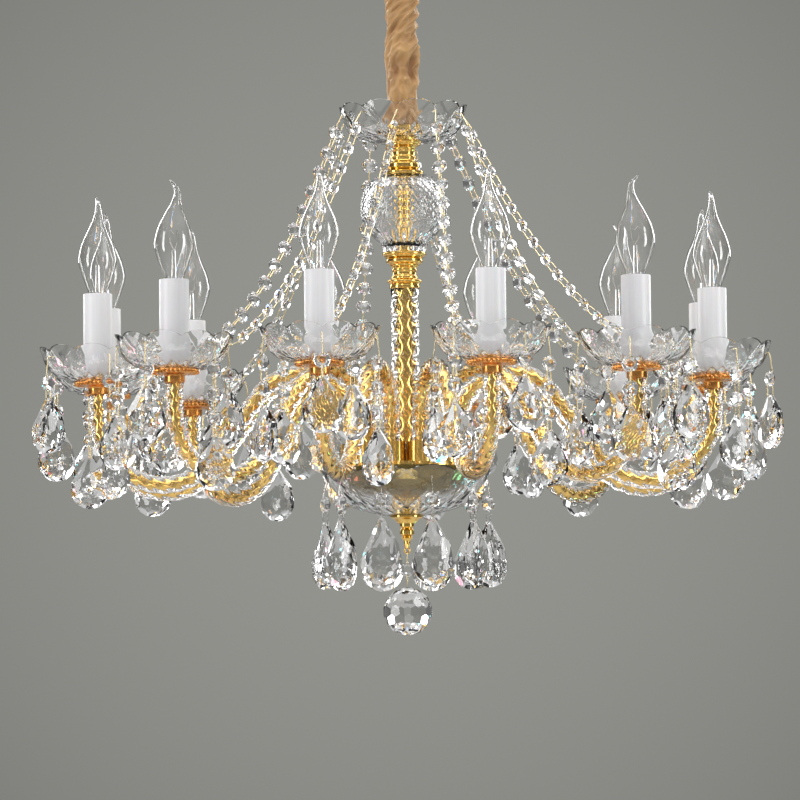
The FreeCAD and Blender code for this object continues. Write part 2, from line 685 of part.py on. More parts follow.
def receiver_pan():
    """Brass pan that hides the nuts, hung under the plate's edge."""
    depth, foot, wall = pan_depth, pan_foot_r, pan_wall
    outline = [(plate_r, 0), (0.98 * plate_r, -0.14 * depth), (0.91 * plate_r, -0.42 * depth),
               (0.78 * plate_r, -0.66 * depth), (0.52 * plate_r, -0.90 * depth), (foot, -depth),
               (rod_r + rod_fit, -depth), (rod_r + rod_fit, -depth + wall), (foot, -depth + wall),
               (0.52 * plate_r - 0.5 * wall, -0.90 * depth + wall),
               (0.78 * plate_r - wall, -0.66 * depth + 0.8 * wall),
               (0.91 * plate_r - wall, -0.42 * depth + 0.5 * wall), (0.98 * plate_r - wall, -0.14 * depth),
               (plate_r - wall, 0)]
    return turned(outline, plate_foot_z)


def pan_spacer():
    return drilled_rod(pan_foot_r, rod_r + rod_fit, bottom_foot_z + bowl_wall, pan_foot_z)


def end_cap():
    bore = rod_r + rod_fit
    outline = [(bore, 0), (cap_r, 0), (cap_r, -0.22 * cap_height), (0.75 * cap_r, -0.50 * cap_height),
               (finial_r + 1.5, -cap_height), (bore, -cap_height)]
    return turned(outline, bottom_foot_z)


def finial():
    """Turned end knob with an eye in the XZ plane."""
    radius, height = finial_r, finial_height
    outline = [(0, 0), (radius, 0), (radius, -0.12 * height), (0.8 * radius, -0.18 * height),
               (radius, -0.30 * height), (radius, -0.44 * height), (0.62 * radius, -0.52 * height),
               (0.80 * radius, -0.60 * height), (0.45 * radius, -0.72 * height),
               (0.42 * radius, -0.86 * height), (0.20 * radius, -height), (0, -height)]
    knob = turned(outline, finial_top_z)
    eye = Part.makeTorus(eye_r, eye_wire_d / 2, Vector(0, 0, eye_z), Vector(0, 1, 0))
    thread = Part.makeCylinder(rod_tail_r + rod_fit, rod_tail_length + seat_gap,
                               Vector(0, 0, finial_top_z - rod_tail_length - seat_gap))
    return knob.fuse(eye).removeSplitter().cut(thread)


# ---------------------------------------------------------------- arms
def arm_path(low_z, high_z):
    """Middle line of an arm in the plane x = 0, from a level under the cup to a level at the candle."""
    arch = Vector(0, -(cup_circle_r + arch_r), cup_floor_z + arm_rise)
    trough = Vector(0, -(arm_reach - trough_r), arch.z + trough_lift)
    span = trough - arch
    slope = math.atan2(span.z, -span.y) - math.asin((arch_r + trough_r) / span.Length)
    outward = Vector(0, math.sin(slope), math.cos(slope))
    leave = arch + outward * arch_r
    join = trough - outward * trough_r
    arch_middle = arch + (Vector(0, 1, 0) + outward).normalize() * arch_r
    trough_middle = trough + (Vector(0, -1, 0) - outward).normalize() * trough_r
    foot = Vector(0, -cup_circle_r, low_z)
    tip = Vector(0, -arm_reach, high_z)
    root = Vector(0, -cup_circle_r, arch.z)
    bend_end = Vector(0, -arm_reach, trough.z)
    edges = [Part.LineSegment(foot, root), Part.Arc(root, arch_middle, leave), Part.LineSegment(leave, join),
             Part.Arc(join, trough_middle, bend_end), Part.LineSegment(bend_end, tip)]
    return Part.Wire([edge.toShape() for edge in edges])


def glass_arm():
    """Hollow S-shaped glass arm at the front; its tip narrows towards the candle."""
    trough_z = cup_floor_z + arm_rise + trough_lift
    path = arm_path(cup_floor_z, trough_z + arm_tip_rise)
    bent = swept(Part.Wire(path.Edges[:4]), arm_r)
    tip = Part.makeCone(arm_r, arm_tip_r, arm_tip_rise, Vector(0, -arm_reach, trough_z))
    return bent.fuse(tip).cut(swept(path, tube_r + rod_fit))


def arm_tube():
    """Brass tube through the arm, from its nut up into the lamp holder."""
    path = arm_path(plate_foot_z - nut_height - 1.0, gallery_z + candle_foot() + tube_end_room - 1.0)
    return swept(path, tube_r).cut(swept(path, tube_bore_r))


def gallery_ring():
    """Brass ring with a crown edge under the bobeche, and the socket for the arm's tip."""
    half = gallery_thickness / 2
    mouth_r = glass_fit + arm_tip_r + (arm_r - arm_tip_r) * (socket_depth - tip_inset) / arm_tip_rise
    outline = [(tube_r + rod_fit, half), (gallery_r, half), (gallery_r, -0.4 * half), (0.8 * gallery_r, -half),
               (socket_r, -half), (socket_r, -socket_depth - half),
               (mouth_r, -socket_depth - half), (mouth_r, -half - tip_inset),
               (tube_r + rod_fit, -half - tip_inset)]
    tooth = Part.makeCylinder(gallery_tooth_r, gallery_thickness, Vector(gallery_r + 0.9, 0, -half))
    gaps = [moved(tooth, Vector(0, 0, 0), 360.0 / gallery_teeth * step) for step in range(gallery_teeth)]
    return turned(outline).cut(gaps)


def candle_foot():
    return gallery_thickness / 2 + bobeche_wall


def lamp_holder():
    """Lamp holder inside the candle, with a hole for the arm tube and a threaded mouth for the lamp."""
    foot = candle_foot()
    body_r = candle_r - candle_wall - holder_fit
    mouth_foot = foot + holder_height - lamp_cap_sink
    outline = [(tube_r + rod_fit, foot), (body_r, foot), (body_r, foot + holder_height),
               (lamp_cap_r + holder_fit, foot + holder_height), (lamp_cap_r + holder_fit, mouth_foot),
               (holder_bore_r, mouth_foot), (holder_bore_r, foot + tube_end_room),
               (tube_r + rod_fit, foot + tube_end_room)]
    return turned(outline)


def candle_sleeve():
    foot = candle_foot()
    return drilled_rod(candle_r, candle_r - candle_wall, foot, foot + candle_height)


def lamp_cap():
    """Screw cap of a lamp, with its rim under the glass."""
    foot = candle_foot() + holder_height - lamp_cap_sink
    top = foot + lamp_cap_height
    outline = [(0, foot), (2.5, foot), (lamp_cap_r, foot + 4), (lamp_cap_r, top - 2), (bulb_neck_r, top - 1),
               (bulb_neck_r, top), (0, top)]
    return turned(outline)


def lamp_glass_z():
    return candle_foot() + holder_height - lamp_cap_sink + lamp_cap_height


def bent_tip(shrink):
    """Flame-shaped bulb with a tip that leans over, made smaller by a wall."""
    base, length = lamp_glass_z(), bulb_length
    shape = ((0, bulb_neck_r, 0), (0.12, 1.06 * bulb_neck_r, 0), (0.25, 0.78 * bulb_r, 0), (0.41, bulb_r, 0),
             (0.57, 0.80 * bulb_r, 0), (0.72, 0.42 * bulb_r, 1.0), (0.84, 0.20 * bulb_r, 2.5),
             (0.93, 0.11 * bulb_r, 2.0), (1.0, bulb_tip_r, -1.5))
    rings = []
    for share, radius, lean in shape:
        height = base + share * (length - shrink)
        rings.append(Part.Wire(Part.makeCircle(max(radius - shrink, 0.4), Vector(lean, 0, height))))
    return Part.makeLoft(rings, True)


def bulb():
    return bent_tip(0.0).cut(bent_tip(bulb_wall))


def bulb_stem():
    """Glass foot and rod inside a bulb that carry its filament."""
    base = lamp_glass_z()
    outline = [(0, 0), (bulb_neck_r - bulb_wall - seat_gap, 0), (3.4, 6), (2.2, 12), (1.6, stem_length),
               (0, stem_length)]
    return turned(outline, base)


def bulb_filament():
    """Two lead wires out of the stem with the filament's loop between them."""
    base = lamp_glass_z() + stem_length + seat_gap
    points = [Vector(0, 0, base), Vector(-5, 0, base + 7), Vector(-6, 0, base + 19), Vector(0, 2.5, base + 12),
              Vector(6, 0, base + 19), Vector(5, 0, base + 7), Vector(0.6, 0.8, base + 0.4)]
    return swept(rounded_path(points, 1.2), 0.25)


def facing_azimuth(azimuth, index):
    """Way that a hanging drop looks: turned from its hook to the front or the back, a little unevenly."""
    side = -1 if 90 < azimuth % 360 < 270 else 1
    return side * drop_turn * math.sin(math.radians(azimuth)) + drop_wander * math.sin(2.3 * index)


def round_stem(shape):
    """The shape of the front arm, copied to every arm."""
    return [moved(shape, Vector(0, 0, 0), azimuth) for azimuth in arm_azimuths()]


def on_arms(shape):
    """The shape of one candle, copied to the end of every arm."""
    return [moved(shape, polar(arm_reach, azimuth, gallery_z), azimuth) for azimuth in arm_azimuths()]


def bobeche_trim(bead, drop):
    """Beads, drops and wires that hang round every bobeche."""
    crystals, wires = [], []
    link_span = bead_pitch - 2 * bead_hole
    link = crystal_link(link_span)
    for arm, arm_azimuth in enumerate(arm_azimuths()):
        axis = polar(arm_reach, arm_azimuth, gallery_z)
        for hook, (azimuth, beads) in enumerate(drop_hooks):
            world_azimuth = arm_azimuth + azimuth
            look = facing_azimuth(world_azimuth, 5 * arm + hook)
            inside, outside = wall_hole(bobeche_outline(), bobeche_wall, world_azimuth, bobeche_hole_z)
            hole = outside - UP * hanger_length
            wires.append(moved(hanger(inside, outside, hole, polar(1, look, 0)), axis))
            place = axis + hole - UP * bead_hole
            for number in range(beads):
                crystals.append(moved(bead, place, look))
                wires.append(moved(link, place - UP * bead_hole, look))
                place = place - UP * bead_pitch
            crystals.append(moved(drop, place + UP * bead_hole, look))
    return crystals, wires


def garland(notch, arm_azimuth, hook, bead, roll):
    """Beads and wires of one string from the top bowl down to a bobeche."""
    axis = polar(arm_reach, arm_azimuth, gallery_z)
    notch_azimuth = top_bowl_notch_az + 360.0 / scallops * notch
    start_inside, start = wall_hole(top_bowl_outline(), bowl_wall, notch_azimuth, top_hole_z)
    end_inside, end = [axis + point for point in
                          wall_hole(bobeche_outline(), bobeche_wall, arm_azimuth + hook, bobeche_hole_z)]
    span = end - start

    def at(share):
        return start + span * share - UP * (4 * garland_sag * share * (1 - share))

    fine = 400
    marks = [at(index / float(fine)) for index in range(fine + 1)]
    lengths = [0.0]
    for before, after in zip(marks, marks[1:]):
        lengths.append(lengths[-1] + (after - before).Length)
    total = lengths[-1]
    count = int(round((total - 2 * garland_end) / bead_pitch)) + 1
    pitch = (total - 2 * garland_end) / (count - 1)
    places = []
    for number in range(count):
        goal = garland_end + pitch * number
        index = next(step for step, length in enumerate(lengths) if length >= goal)
        places.append(at(index / float(fine)))
    ways = []
    for number in range(count):
        before = places[number - 1] if number else start
        after = places[number + 1] if number + 1 < count else end
        ways.append((before - after).normalize())
    side = UP.cross(span).normalize()
    beads, wires, faces = [], [], []
    for place, way in zip(places, ways):
        level = way.cross(side)
        face = side * math.cos(math.radians(roll)) + level * math.sin(math.radians(roll))
        faces.append(face)
        beads.append(aligned(bead, place, way, face))
    for number in range(count - 1):
        upper = places[number] - ways[number] * bead_hole
        lower = places[number + 1] + ways[number + 1] * bead_hole
        link = crystal_link((upper - lower).Length)
        wires.append(aligned(link, upper, upper - lower, faces[number]))
    wires.append(hanger(start_inside, start, places[0] + ways[0] * bead_hole, faces[0]))
    wires.append(hanger(end_inside, end, places[-1] - ways[-1] * bead_hole, faces[-1]))
    return beads, wires


def bottom_drop(index, bead, drop):
    """One of the drops round the bottom bowl, with its bead and wires. It swings from its hole."""
    azimuth = bottom_hook_az + 360.0 / scallops * index
    look = facing_azimuth(azimuth, index)
    inside, outside = wall_hole(bottom_bowl_outline(), bowl_wall, azimuth, bottom_hole_z)
    hole = outside - UP * bottom_hanger_length
    wire = hanger(inside, outside, hole, polar(1, look, 0))
    bead_place = hole - UP * bead_hole
    link_top = bead_place - UP * bead_hole
    link = moved(crystal_link(bottom_link_length), link_top, look)
    return [wire, moved(bead, bead_place, look), link,
            moved(drop, link_top - UP * bottom_link_length, look)]


def pendant(bead):
    """Bead and faceted ball under the finial, as (hook wire, bead, link, ball)."""
    upper = Vector(0, 0, eye_z - eye_r)
    hook = crystal_link(ball_bead_drop)
    hook_place = upper + UP * (eye_wire_d / 2 + wire_d / 2 + seat_gap - link_play)
    bead_hole_z = hook_place.z - ball_bead_drop
    bead_place = Vector(0, 0, bead_hole_z - bead_hole)
    link_place = bead_place - UP * bead_hole
    ball = moved(faceted_ball(), link_place - UP * ball_link_length)
    link = crystal_link(ball_link_length)
    return moved(hook, hook_place), moved(bead, bead_place), moved(link, link_place), ball


# ---------------------------------------------------------------- all nodes
def build():
    os.makedirs("parts", exist_ok=True)
    save("ceiling_bracket", [ceiling_bracket()])
    save("canopy", [canopy()])
    save("canopy_collar", [canopy_collar()])
    save("hanging_hook", [hanging_hook()])
    save("swivel_link", [chain_link(0)])
    save("chain_links", [chain_link(index) for index in range(1, link_count)])
    save("fabric_sleeve", [fabric_sleeve()])
    save("top_loop", [top_loop()])
    save("top_bowl", [top_bowl()])
    save("upper_neck", [upper_neck()])
    save("baluster", [baluster()])
    save("stem_collar", [stem_collar()])
    save("column", [column()])
    save("centre_rod", [centre_rod()])
    save("arm_receiver", [arm_receiver()])
    save("arm_nuts", arm_nuts())
    save("receiver_pan", [receiver_pan()])
    save("pan_spacer", [pan_spacer()])
    save("bottom_bowl", [bottom_bowl()])
    save("end_cap", [end_cap()])
    save("finial", [finial()])

    save("glass_arms", round_stem(glass_arm()))
    save("arm_tubes", round_stem(arm_tube()))
    save("gallery_rings", on_arms(gallery_ring()))
    save("bobeches", on_arms(bobeche()))
    save("lamp_holders", on_arms(lamp_holder()))
    save("candle_sleeves", on_arms(candle_sleeve()))
    save("lamp_caps", on_arms(lamp_cap()))
    save("bulbs", on_arms(bulb()))
    save("bulb_stems", on_arms(bulb_stem()))
    save("bulb_filaments", on_arms(bulb_filament()))

    bead = octagon_bead()
    crystals, wires = bobeche_trim(bead, almond(drop_width, drop_height, drop_depth, 8))
    save("bobeche_drops", crystals)
    save("drop_wires", wires)
    beads, links = [], []
    for notch, arm_azimuth, hook in garlands:
        strand_beads, strand_links = garland(notch, arm_azimuth, hook, bead, 25.0 + 40.0 * notch)
        beads += strand_beads
        links += strand_links
    save("garland_beads", beads)
    save("garland_wires", links)
    drop = almond(bottom_drop_width, bottom_drop_height, bottom_drop_depth, 10)
    for index in range(scallops):
        save("bottom_drop_%02d" % (index + 1), bottom_drop(index, bead, drop))
    hook, ball_bead, link, ball = pendant(bead)
    save("pendant_hook", [hook])
    save("pendant_bead", [ball_bead])
    save("pendant_link", [link])
    save("pendant_ball", [ball])


build()
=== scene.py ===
"""Looks of the crystal chandelier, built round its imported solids. Sizes are in metres, +Z is up."""
import math

import bmesh
import bpy
from bpy.props import FloatProperty, FloatVectorProperty, IntProperty, PointerProperty
from mathutils import Matrix, Vector, noise


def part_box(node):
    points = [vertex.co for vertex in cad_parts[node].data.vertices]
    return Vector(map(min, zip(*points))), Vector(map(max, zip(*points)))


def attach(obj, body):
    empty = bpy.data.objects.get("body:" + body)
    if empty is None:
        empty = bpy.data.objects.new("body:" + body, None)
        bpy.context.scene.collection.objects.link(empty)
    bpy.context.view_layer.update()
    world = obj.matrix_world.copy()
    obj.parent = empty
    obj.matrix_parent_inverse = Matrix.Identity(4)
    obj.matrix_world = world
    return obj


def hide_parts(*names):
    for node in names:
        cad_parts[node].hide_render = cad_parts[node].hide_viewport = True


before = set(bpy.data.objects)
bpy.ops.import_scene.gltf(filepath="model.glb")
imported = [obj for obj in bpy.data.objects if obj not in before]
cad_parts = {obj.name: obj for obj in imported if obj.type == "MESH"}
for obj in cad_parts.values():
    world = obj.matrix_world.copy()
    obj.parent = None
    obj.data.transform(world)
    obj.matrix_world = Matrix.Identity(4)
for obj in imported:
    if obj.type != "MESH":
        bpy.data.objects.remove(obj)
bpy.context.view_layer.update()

bl_info = {
    "name": "Crystal Chandelier",
    "version": (1, 0, 0),
    "blender": (4, 5, 0),
    "location": "3D View > Sidebar > Chandelier",
    "description": "Builds the glass, crystal, metal and fabric of a crystal chandelier",
    "category": "Object",
}

HUNG = "chandelier"                  # body that everything below the first link belongs to
SCALLOPS = 10
ARMS = [15.0 + 30.0 * index for index in range(12)]
ARM_REACH = 0.284                    # from the stem's middle to each candle's
ROD_BORE = 0.00615                   # through the pieces on the central rod
TUBE_BORE = 0.00315                  # through the pieces on an arm's tube
TIP_RISE = 0.0275                    # straight part of an arm under its candle
LIT_MIDDLE_Z = -0.45                 # height that the lights look at
FLOOR_Z = -2.4
FLOOR_HALF = 9.0
CAMERA_PLACE = Vector((-0.0052, -4.916, -0.8306))
CAMERA_AIM = Vector((-0.0052, 0.0, -0.4609))
CAMERA_ROLL = math.radians(-0.55)
# azimuth that each lamp's bent tip leans to
LEANS = [200.0, -80.0, 10.0, 190.0, 60.0, 150.0, -120.0, 20.0, 170.0, 20.0, 85.0, 160.0]


# ------------------------------------------------------------------ shapes
def polar(radius, azimuth, z):
    """Point at a radius, an azimuth in degrees from the front, and a height."""
    turn = math.radians(azimuth)
    return Vector((radius * math.sin(turn), -radius * math.cos(turn), z))


def smooth_line(points, count):
    """Evenly spaced points on a smooth curve through a list of 2-D or 3-D points."""
    points = [Vector(point) for point in points]
    ends = [points[0] * 2 - points[1]] + points + [points[-1] * 2 - points[-2]]
    fine = []
    for a, b, c, d in zip(ends, ends[1:], ends[2:], ends[3:]):
        for step in range(16):
            t = step / 16
            fine.append(0.5 * (2 * b + (c - a) * t + (2 * a - 5 * b + 4 * c - d) * t ** 2
                               + (3 * b - a - 3 * c + d) * t ** 3))
    fine.append(points[-1])
    lengths = [0.0]
    for before, after in zip(fine, fine[1:]):
        lengths.append(lengths[-1] + (after - before).length)
    line, index = [], 0
    for step in range(count):
        goal = lengths[-1] * step / (count - 1)
        while index < len(fine) - 2 and lengths[index + 1] < goal:
            index += 1
        run = lengths[index + 1] - lengths[index]
        line.append(fine[index].lerp(fine[index + 1], (goal - lengths[index]) / run if run else 0.0))
    return line


def on_line(line, share):
    """Point at a share of the way along an evenly spaced line."""
    place = max(0.0, min(1.0, share)) * (len(line) - 1)
    index = min(int(place), len(line) - 2)
    return line[index].lerp(line[index + 1], place - index)


def band_faces(rows, columns, close_rows=False):
    """Quads of a closed band of points, row by row; with close_rows the last row joins the first."""
    faces = []
    for row in range(rows if close_rows else rows - 1):
        for column in range(columns):
            beside = (column + 1) % columns
            below = (row + 1) % rows
            faces.append((row * columns + column, row * columns + beside,
                          below * columns + beside, below * columns + column))
    return faces


def mesh_of(name, points, faces, flat=False):
    """Mesh with merged points, outward normals and smooth shading."""
    made = bmesh.new()
    corners = [made.verts.new(point) for point in points]
    for face in faces:
        loop = [corners[index] for index in face]
        if len(set(loop)) > 2:
            made.faces.new(loop)
    bmesh.ops.remove_doubles(made, verts=made.verts, dist=1e-6)
    bmesh.ops.dissolve_degenerate(made, edges=made.edges, dist=1e-7)
    bmesh.ops.recalc_face_normals(made, faces=made.faces)
    for face in made.faces:
        face.smooth = not flat
    mesh = bpy.data.meshes.new(name)
    made.to_mesh(mesh)
    made.free()
    return mesh


def turned_mesh(name, profile, columns, crease=35.0):
    """Turned piece. The profile lists (radius, height), round a closed section or from axis to axis."""
    points, faces = [], band_faces(len(profile), columns, close_rows=profile[0][0] > 1e-6)
    for radius, height in profile:
        points += [polar(radius, 360.0 * column / columns, height) for column in range(columns)]
    mesh = mesh_of(name, points, faces)
    sharpen(mesh, crease)
    return mesh


def sharpen(mesh, crease):
    """Edges that turn more than a number of degrees stay sharp."""
    made = bmesh.new()
    made.from_mesh(mesh)
    for edge in made.edges:
        edge.smooth = len(edge.link_faces) == 2 and edge.calc_face_angle(0.0) < math.radians(crease)
    made.to_mesh(mesh)
    made.free()


def place_piece(name, mesh, material, replaced=(), body=HUNG):
    """Object for a finished mesh, riding on its body and standing for its nodes."""
    mesh.materials.clear()
    mesh.materials.append(material)
    piece = bpy.data.objects.new(name, mesh)
    bpy.context.scene.collection.objects.link(piece)
    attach(piece, body)
    if replaced:
        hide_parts(*replaced)
    return piece


# ------------------------------------------------------------------ node trees
def add(tree, kind, inputs=None, **settings):
    """New node with its settings, and its inputs set or linked by name or number."""
    node = tree.nodes.new(kind)
    for name, value in settings.items():
        setattr(node, name, value)
    for name, value in (inputs or {}).items():
        if isinstance(value, bpy.types.NodeSocket):
            tree.links.new(value, node.inputs[name])
        else:
            node.inputs[name].default_value = value
    return node


def math_node(tree, operation, *values):
    return add(tree, "ShaderNodeMath", dict(enumerate(values)), operation=operation).outputs[0]


def vector_node(tree, operation, *values):
    return add(tree, "ShaderNodeVectorMath", dict(enumerate(values)), operation=operation)


def blend_colours(tree, share, first, second, blend_type="MIX"):
    """Colour between two colours or colour sockets."""
    node = add(tree, "ShaderNodeMix", {0: share}, data_type="RGBA", blend_type=blend_type)
    for socket, value in ((node.inputs[6], first), (node.inputs[7], second)):
        if isinstance(value, bpy.types.NodeSocket):
            tree.links.new(value, socket)
        else:
            socket.default_value = (*value, 1.0)
    return node.outputs[2]


def geometry_tree(name, sockets):
    """Empty geometry tree with its group input and the named sockets, as (kind, name, default)."""
    tree = bpy.data.node_groups.new(name, "GeometryNodeTree")
    tree.interface.new_socket("Geometry", in_out="INPUT", socket_type="NodeSocketGeometry")
    for kind, label, default in sockets:
        socket = tree.interface.new_socket(label, in_out="INPUT", socket_type=kind)
        if default is not None:
            socket.default_value = default
    tree.interface.new_socket("Geometry", in_out="OUTPUT", socket_type="NodeSocketGeometry")
    return tree, tree.nodes.new("NodeGroupInput")


def end_tree(tree, geometry, material):
    """Close a geometry tree with Realize Instances and Set Material."""
    real = add(tree, "GeometryNodeRealizeInstances", {"Geometry": geometry})
    coloured = add(tree, "GeometryNodeSetMaterial", {"Geometry": real.outputs[0], "Material": material})
    add(tree, "NodeGroupOutput", {0: coloured.outputs[0]})


def bake_tree(name, base, tree, values):
    """Mesh that a geometry tree makes from a base mesh, with its inputs given by name."""
    holder = bpy.data.objects.new(name, base)
    bpy.context.scene.collection.objects.link(holder)
    modifier = holder.modifiers.new(tree.name, "NODES")
    modifier.node_group = tree
    for item in tree.interface.items_tree:
        if item.in_out == "INPUT" and item.name in values:
            modifier[item.identifier] = values[item.name]
    evaluated = holder.evaluated_get(bpy.context.evaluated_depsgraph_get())
    mesh = bpy.data.meshes.new_from_object(evaluated)
    mesh.name = name
    bpy.data.objects.remove(holder)
    return mesh


def twisted_glass_tree():
    """Ribbed glass rod along a line, twisted like a rope and narrowed at its tip."""
    real, whole = "NodeSocketFloat", "NodeSocketInt"
    tree, given = geometry_tree("Twisted glass", [
        (real, "Radius", 0.008), (real, "Tip radius", 0.0063), (real, "Tip length", 0.03),
        (whole, "Ribs", 6), (real, "Rib depth", 0.1), (real, "Twist length", 0.076), (real, "Step", 0.0025),
        (whole, "Around", 36), ("NodeSocketMaterial", "Material", None)])
    line = add(tree, "GeometryNodeMeshToCurve", {"Mesh": given.outputs["Geometry"]})
    even = add(tree, "GeometryNodeResampleCurve", {"Curve": line.outputs[0], "Length": given.outputs["Step"]},
               mode="LENGTH").outputs[0]
    along = add(tree, "GeometryNodeSplineParameter")
    whole_length = add(tree, "GeometryNodeCurveLength", {"Curve": even}).outputs[0]
    angle = math_node(tree, "MULTIPLY", math_node(tree, "DIVIDE", along.outputs["Length"],
                                                 given.outputs["Twist length"]), 2 * math.pi)
    twisted = add(tree, "GeometryNodeSetCurveTilt", {"Curve": even, "Tilt": angle}).outputs[0]
    left = math_node(tree, "SUBTRACT", whole_length, along.outputs["Length"])
    taper = add(tree, "ShaderNodeMapRange", {"Value": left, "From Min": 0.0,
                                             "From Max": given.outputs["Tip length"],
                                             "To Min": given.outputs["Tip radius"],
                                             "To Max": given.outputs["Radius"]}).outputs[0]
    ring = add(tree, "GeometryNodeCurvePrimitiveCircle", {"Resolution": given.outputs["Around"],
                                                          "Radius": 1.0})
    place = add(tree, "GeometryNodeInputPosition").outputs[0]
    parts = add(tree, "ShaderNodeSeparateXYZ", {0: place})
    around = math_node(tree, "ARCTAN2", parts.outputs["Y"], parts.outputs["X"])
    lobe = math_node(tree, "ABSOLUTE", math_node(tree, "COSINE", math_node(
        tree, "MULTIPLY", around, math_node(tree, "MULTIPLY", given.outputs["Ribs"], 0.5))))
    shrink = math_node(tree, "SUBTRACT", 1.0, math_node(tree, "MULTIPLY", given.outputs["Rib depth"],
                                                       math_node(tree, "SUBTRACT", 1.0, lobe)))
    lobed = add(tree, "ShaderNodeVectorMath", {"Vector": place, "Scale": shrink},
                operation="SCALE").outputs[0]
    section = add(tree, "GeometryNodeSetPosition", {"Geometry": ring.outputs[0], "Position": lobed})
    skin = add(tree, "GeometryNodeCurveToMesh", {"Curve": twisted, "Profile Curve": section.outputs[0],
                                                 "Scale": taper, "Fill Caps": True}).outputs[0]
    smooth = add(tree, "GeometryNodeSetShadeSmooth", {"Geometry": skin}).outputs[0]
    end_tree(tree, smooth, given.outputs["Material"])
    return tree


def copies_tree():
    """Copies of one shape on every point, each turned about Z by the point's own angle."""
    tree, given = geometry_tree("Placed copies", [("NodeSocketObject", "Shape", None),
                                                  ("NodeSocketMaterial", "Material", None)])
    shape = add(tree, "GeometryNodeObjectInfo", {"Object": given.outputs["Shape"]}).outputs["Geometry"]
    turn = add(tree, "GeometryNodeInputNamedAttribute", {"Name": "turn"}, data_type="FLOAT").outputs[0]
    spin = add(tree, "FunctionNodeAxisAngleToRotation", {"Axis": (0, 0, 1), "Angle": turn}).outputs[0]
    placed = add(tree, "GeometryNodeInstanceOnPoints", {
        "Points": given.outputs["Geometry"], "Instance": shape, "Rotation": spin}).outputs[0]
    end_tree(tree, placed, given.outputs["Material"])
    return tree


def copies_of(name, mesh, places, turns, material):
    """One mesh with a copy of a shape at every place, turned by degrees."""
    points = bpy.data.meshes.new(name + "_places")
    points.from_pydata(places, [], [])
    angles = points.attributes.new("turn", "FLOAT", "POINT")
    angles.data.foreach_set("value", [math.radians(turn) for turn in turns])
    shape = bpy.data.objects.new(name + "_shape", mesh)
    bpy.context.scene.collection.objects.link(shape)
    result = bake_tree(name, points, tree_named("Placed copies"), {"Shape": shape, "Material": material})
    bpy.data.objects.remove(shape)
    return result


def bead_ring_tree():
    """Ring of slanted oval beads, like a cast rope edge."""
    real, whole = "NodeSocketFloat", "NodeSocketInt"
    tree, given = geometry_tree("Bead ring", [
        (real, "Ring radius", 0.0212), (whole, "Beads", 34), (real, "Bead radius", 0.0017),
        (real, "Stretch", 1.5), (real, "Slant", 0.6), ("NodeSocketMaterial", "Material", None)])
    ring = add(tree, "GeometryNodeMeshCircle", {"Vertices": given.outputs["Beads"],
                                                "Radius": given.outputs["Ring radius"]}).outputs[0]
    bead = add(tree, "GeometryNodeMeshUVSphere", {"Segments": 8, "Rings": 5,
                                                  "Radius": given.outputs["Bead radius"]}).outputs[0]
    place = add(tree, "GeometryNodeInputPosition").outputs[0]
    outward = add(tree, "FunctionNodeAlignRotationToVector", {"Vector": place}, axis="X").outputs[0]
    slanted = add(tree, "FunctionNodeAxisAngleToRotation", {"Axis": (1, 0, 0),
                                                            "Angle": given.outputs["Slant"]}).outputs[0]
    turn = add(tree, "FunctionNodeRotateRotation", {"Rotation": outward, "Rotate By": slanted},
               rotation_space="LOCAL").outputs[0]
    size = add(tree, "ShaderNodeCombineXYZ", {"X": 1.0, "Y": 1.0, "Z": given.outputs["Stretch"]}).outputs[0]
    beads = add(tree, "GeometryNodeInstanceOnPoints", {"Points": ring, "Instance": bead, "Rotation": turn,
                                                       "Scale": size}).outputs[0]
    both = add(tree, "GeometryNodeJoinGeometry")
    tree.links.new(given.outputs["Geometry"], both.inputs[0])
    tree.links.new(beads, both.inputs[0])
    end_tree(tree, both.outputs[0], given.outputs["Material"])
    return tree


TREES = {"Twisted glass": twisted_glass_tree, "Placed copies": copies_tree, "Bead ring": bead_ring_tree}


def tree_named(name):
    """The geometry tree of that name, made the first time it is asked for."""
    return bpy.data.node_groups.get(name) or TREES[name]()


# ------------------------------------------------------------------ finishes
def handling_marks_group():
    """Faint cloudy marks of wiping and handling, as a roughness and a slightly uneven normal."""
    tree = bpy.data.node_groups.new("Handling marks", "ShaderNodeTree")
    for label, default in (("Size", 40.0), ("Clean", 0.0), ("Worn", 0.05), ("Ripple", 0.02)):
        socket = tree.interface.new_socket(label, in_out="INPUT", socket_type="NodeSocketFloat")
        socket.default_value = default
    tree.interface.new_socket("Roughness", in_out="OUTPUT", socket_type="NodeSocketFloat")
    tree.interface.new_socket("Normal", in_out="OUTPUT", socket_type="NodeSocketVector")
    given = tree.nodes.new("NodeGroupInput")
    place = add(tree, "ShaderNodeTexCoord").outputs["Object"]
    cloud = add(tree, "ShaderNodeTexNoise", {"Vector": place, "Scale": given.outputs["Size"], "Detail": 3.0})
    rough = add(tree, "ShaderNodeMapRange", {
        "Value": cloud.outputs[0], "From Min": 0.35, "From Max": 0.75, "To Min": given.outputs["Clean"],
        "To Max": given.outputs["Worn"]})
    bump = add(tree, "ShaderNodeBump", {"Height": cloud.outputs[0], "Strength": given.outputs["Ripple"],
                                        "Distance": 0.002})
    add(tree, "NodeGroupOutput", {"Roughness": rough.outputs[0], "Normal": bump.outputs[0]})
    return tree


def marks(tree, **values):
    """A handling marks group placed in a material."""
    group = bpy.data.node_groups.get("Handling marks") or handling_marks_group()
    node = tree.nodes.new("ShaderNodeGroup")
    node.node_tree = group
    for name, value in values.items():
        node.inputs[name].default_value = value
    return node


def new_finish(name):
    """Material with its node tree and its Principled shader."""
    material = bpy.data.materials.new(name)
    material.use_nodes = True
    return material, material.node_tree, material.node_tree.nodes["Principled BSDF"]


def set_values(shader, values):
    for name, value in values.items():
        shader.inputs[name].default_value = value


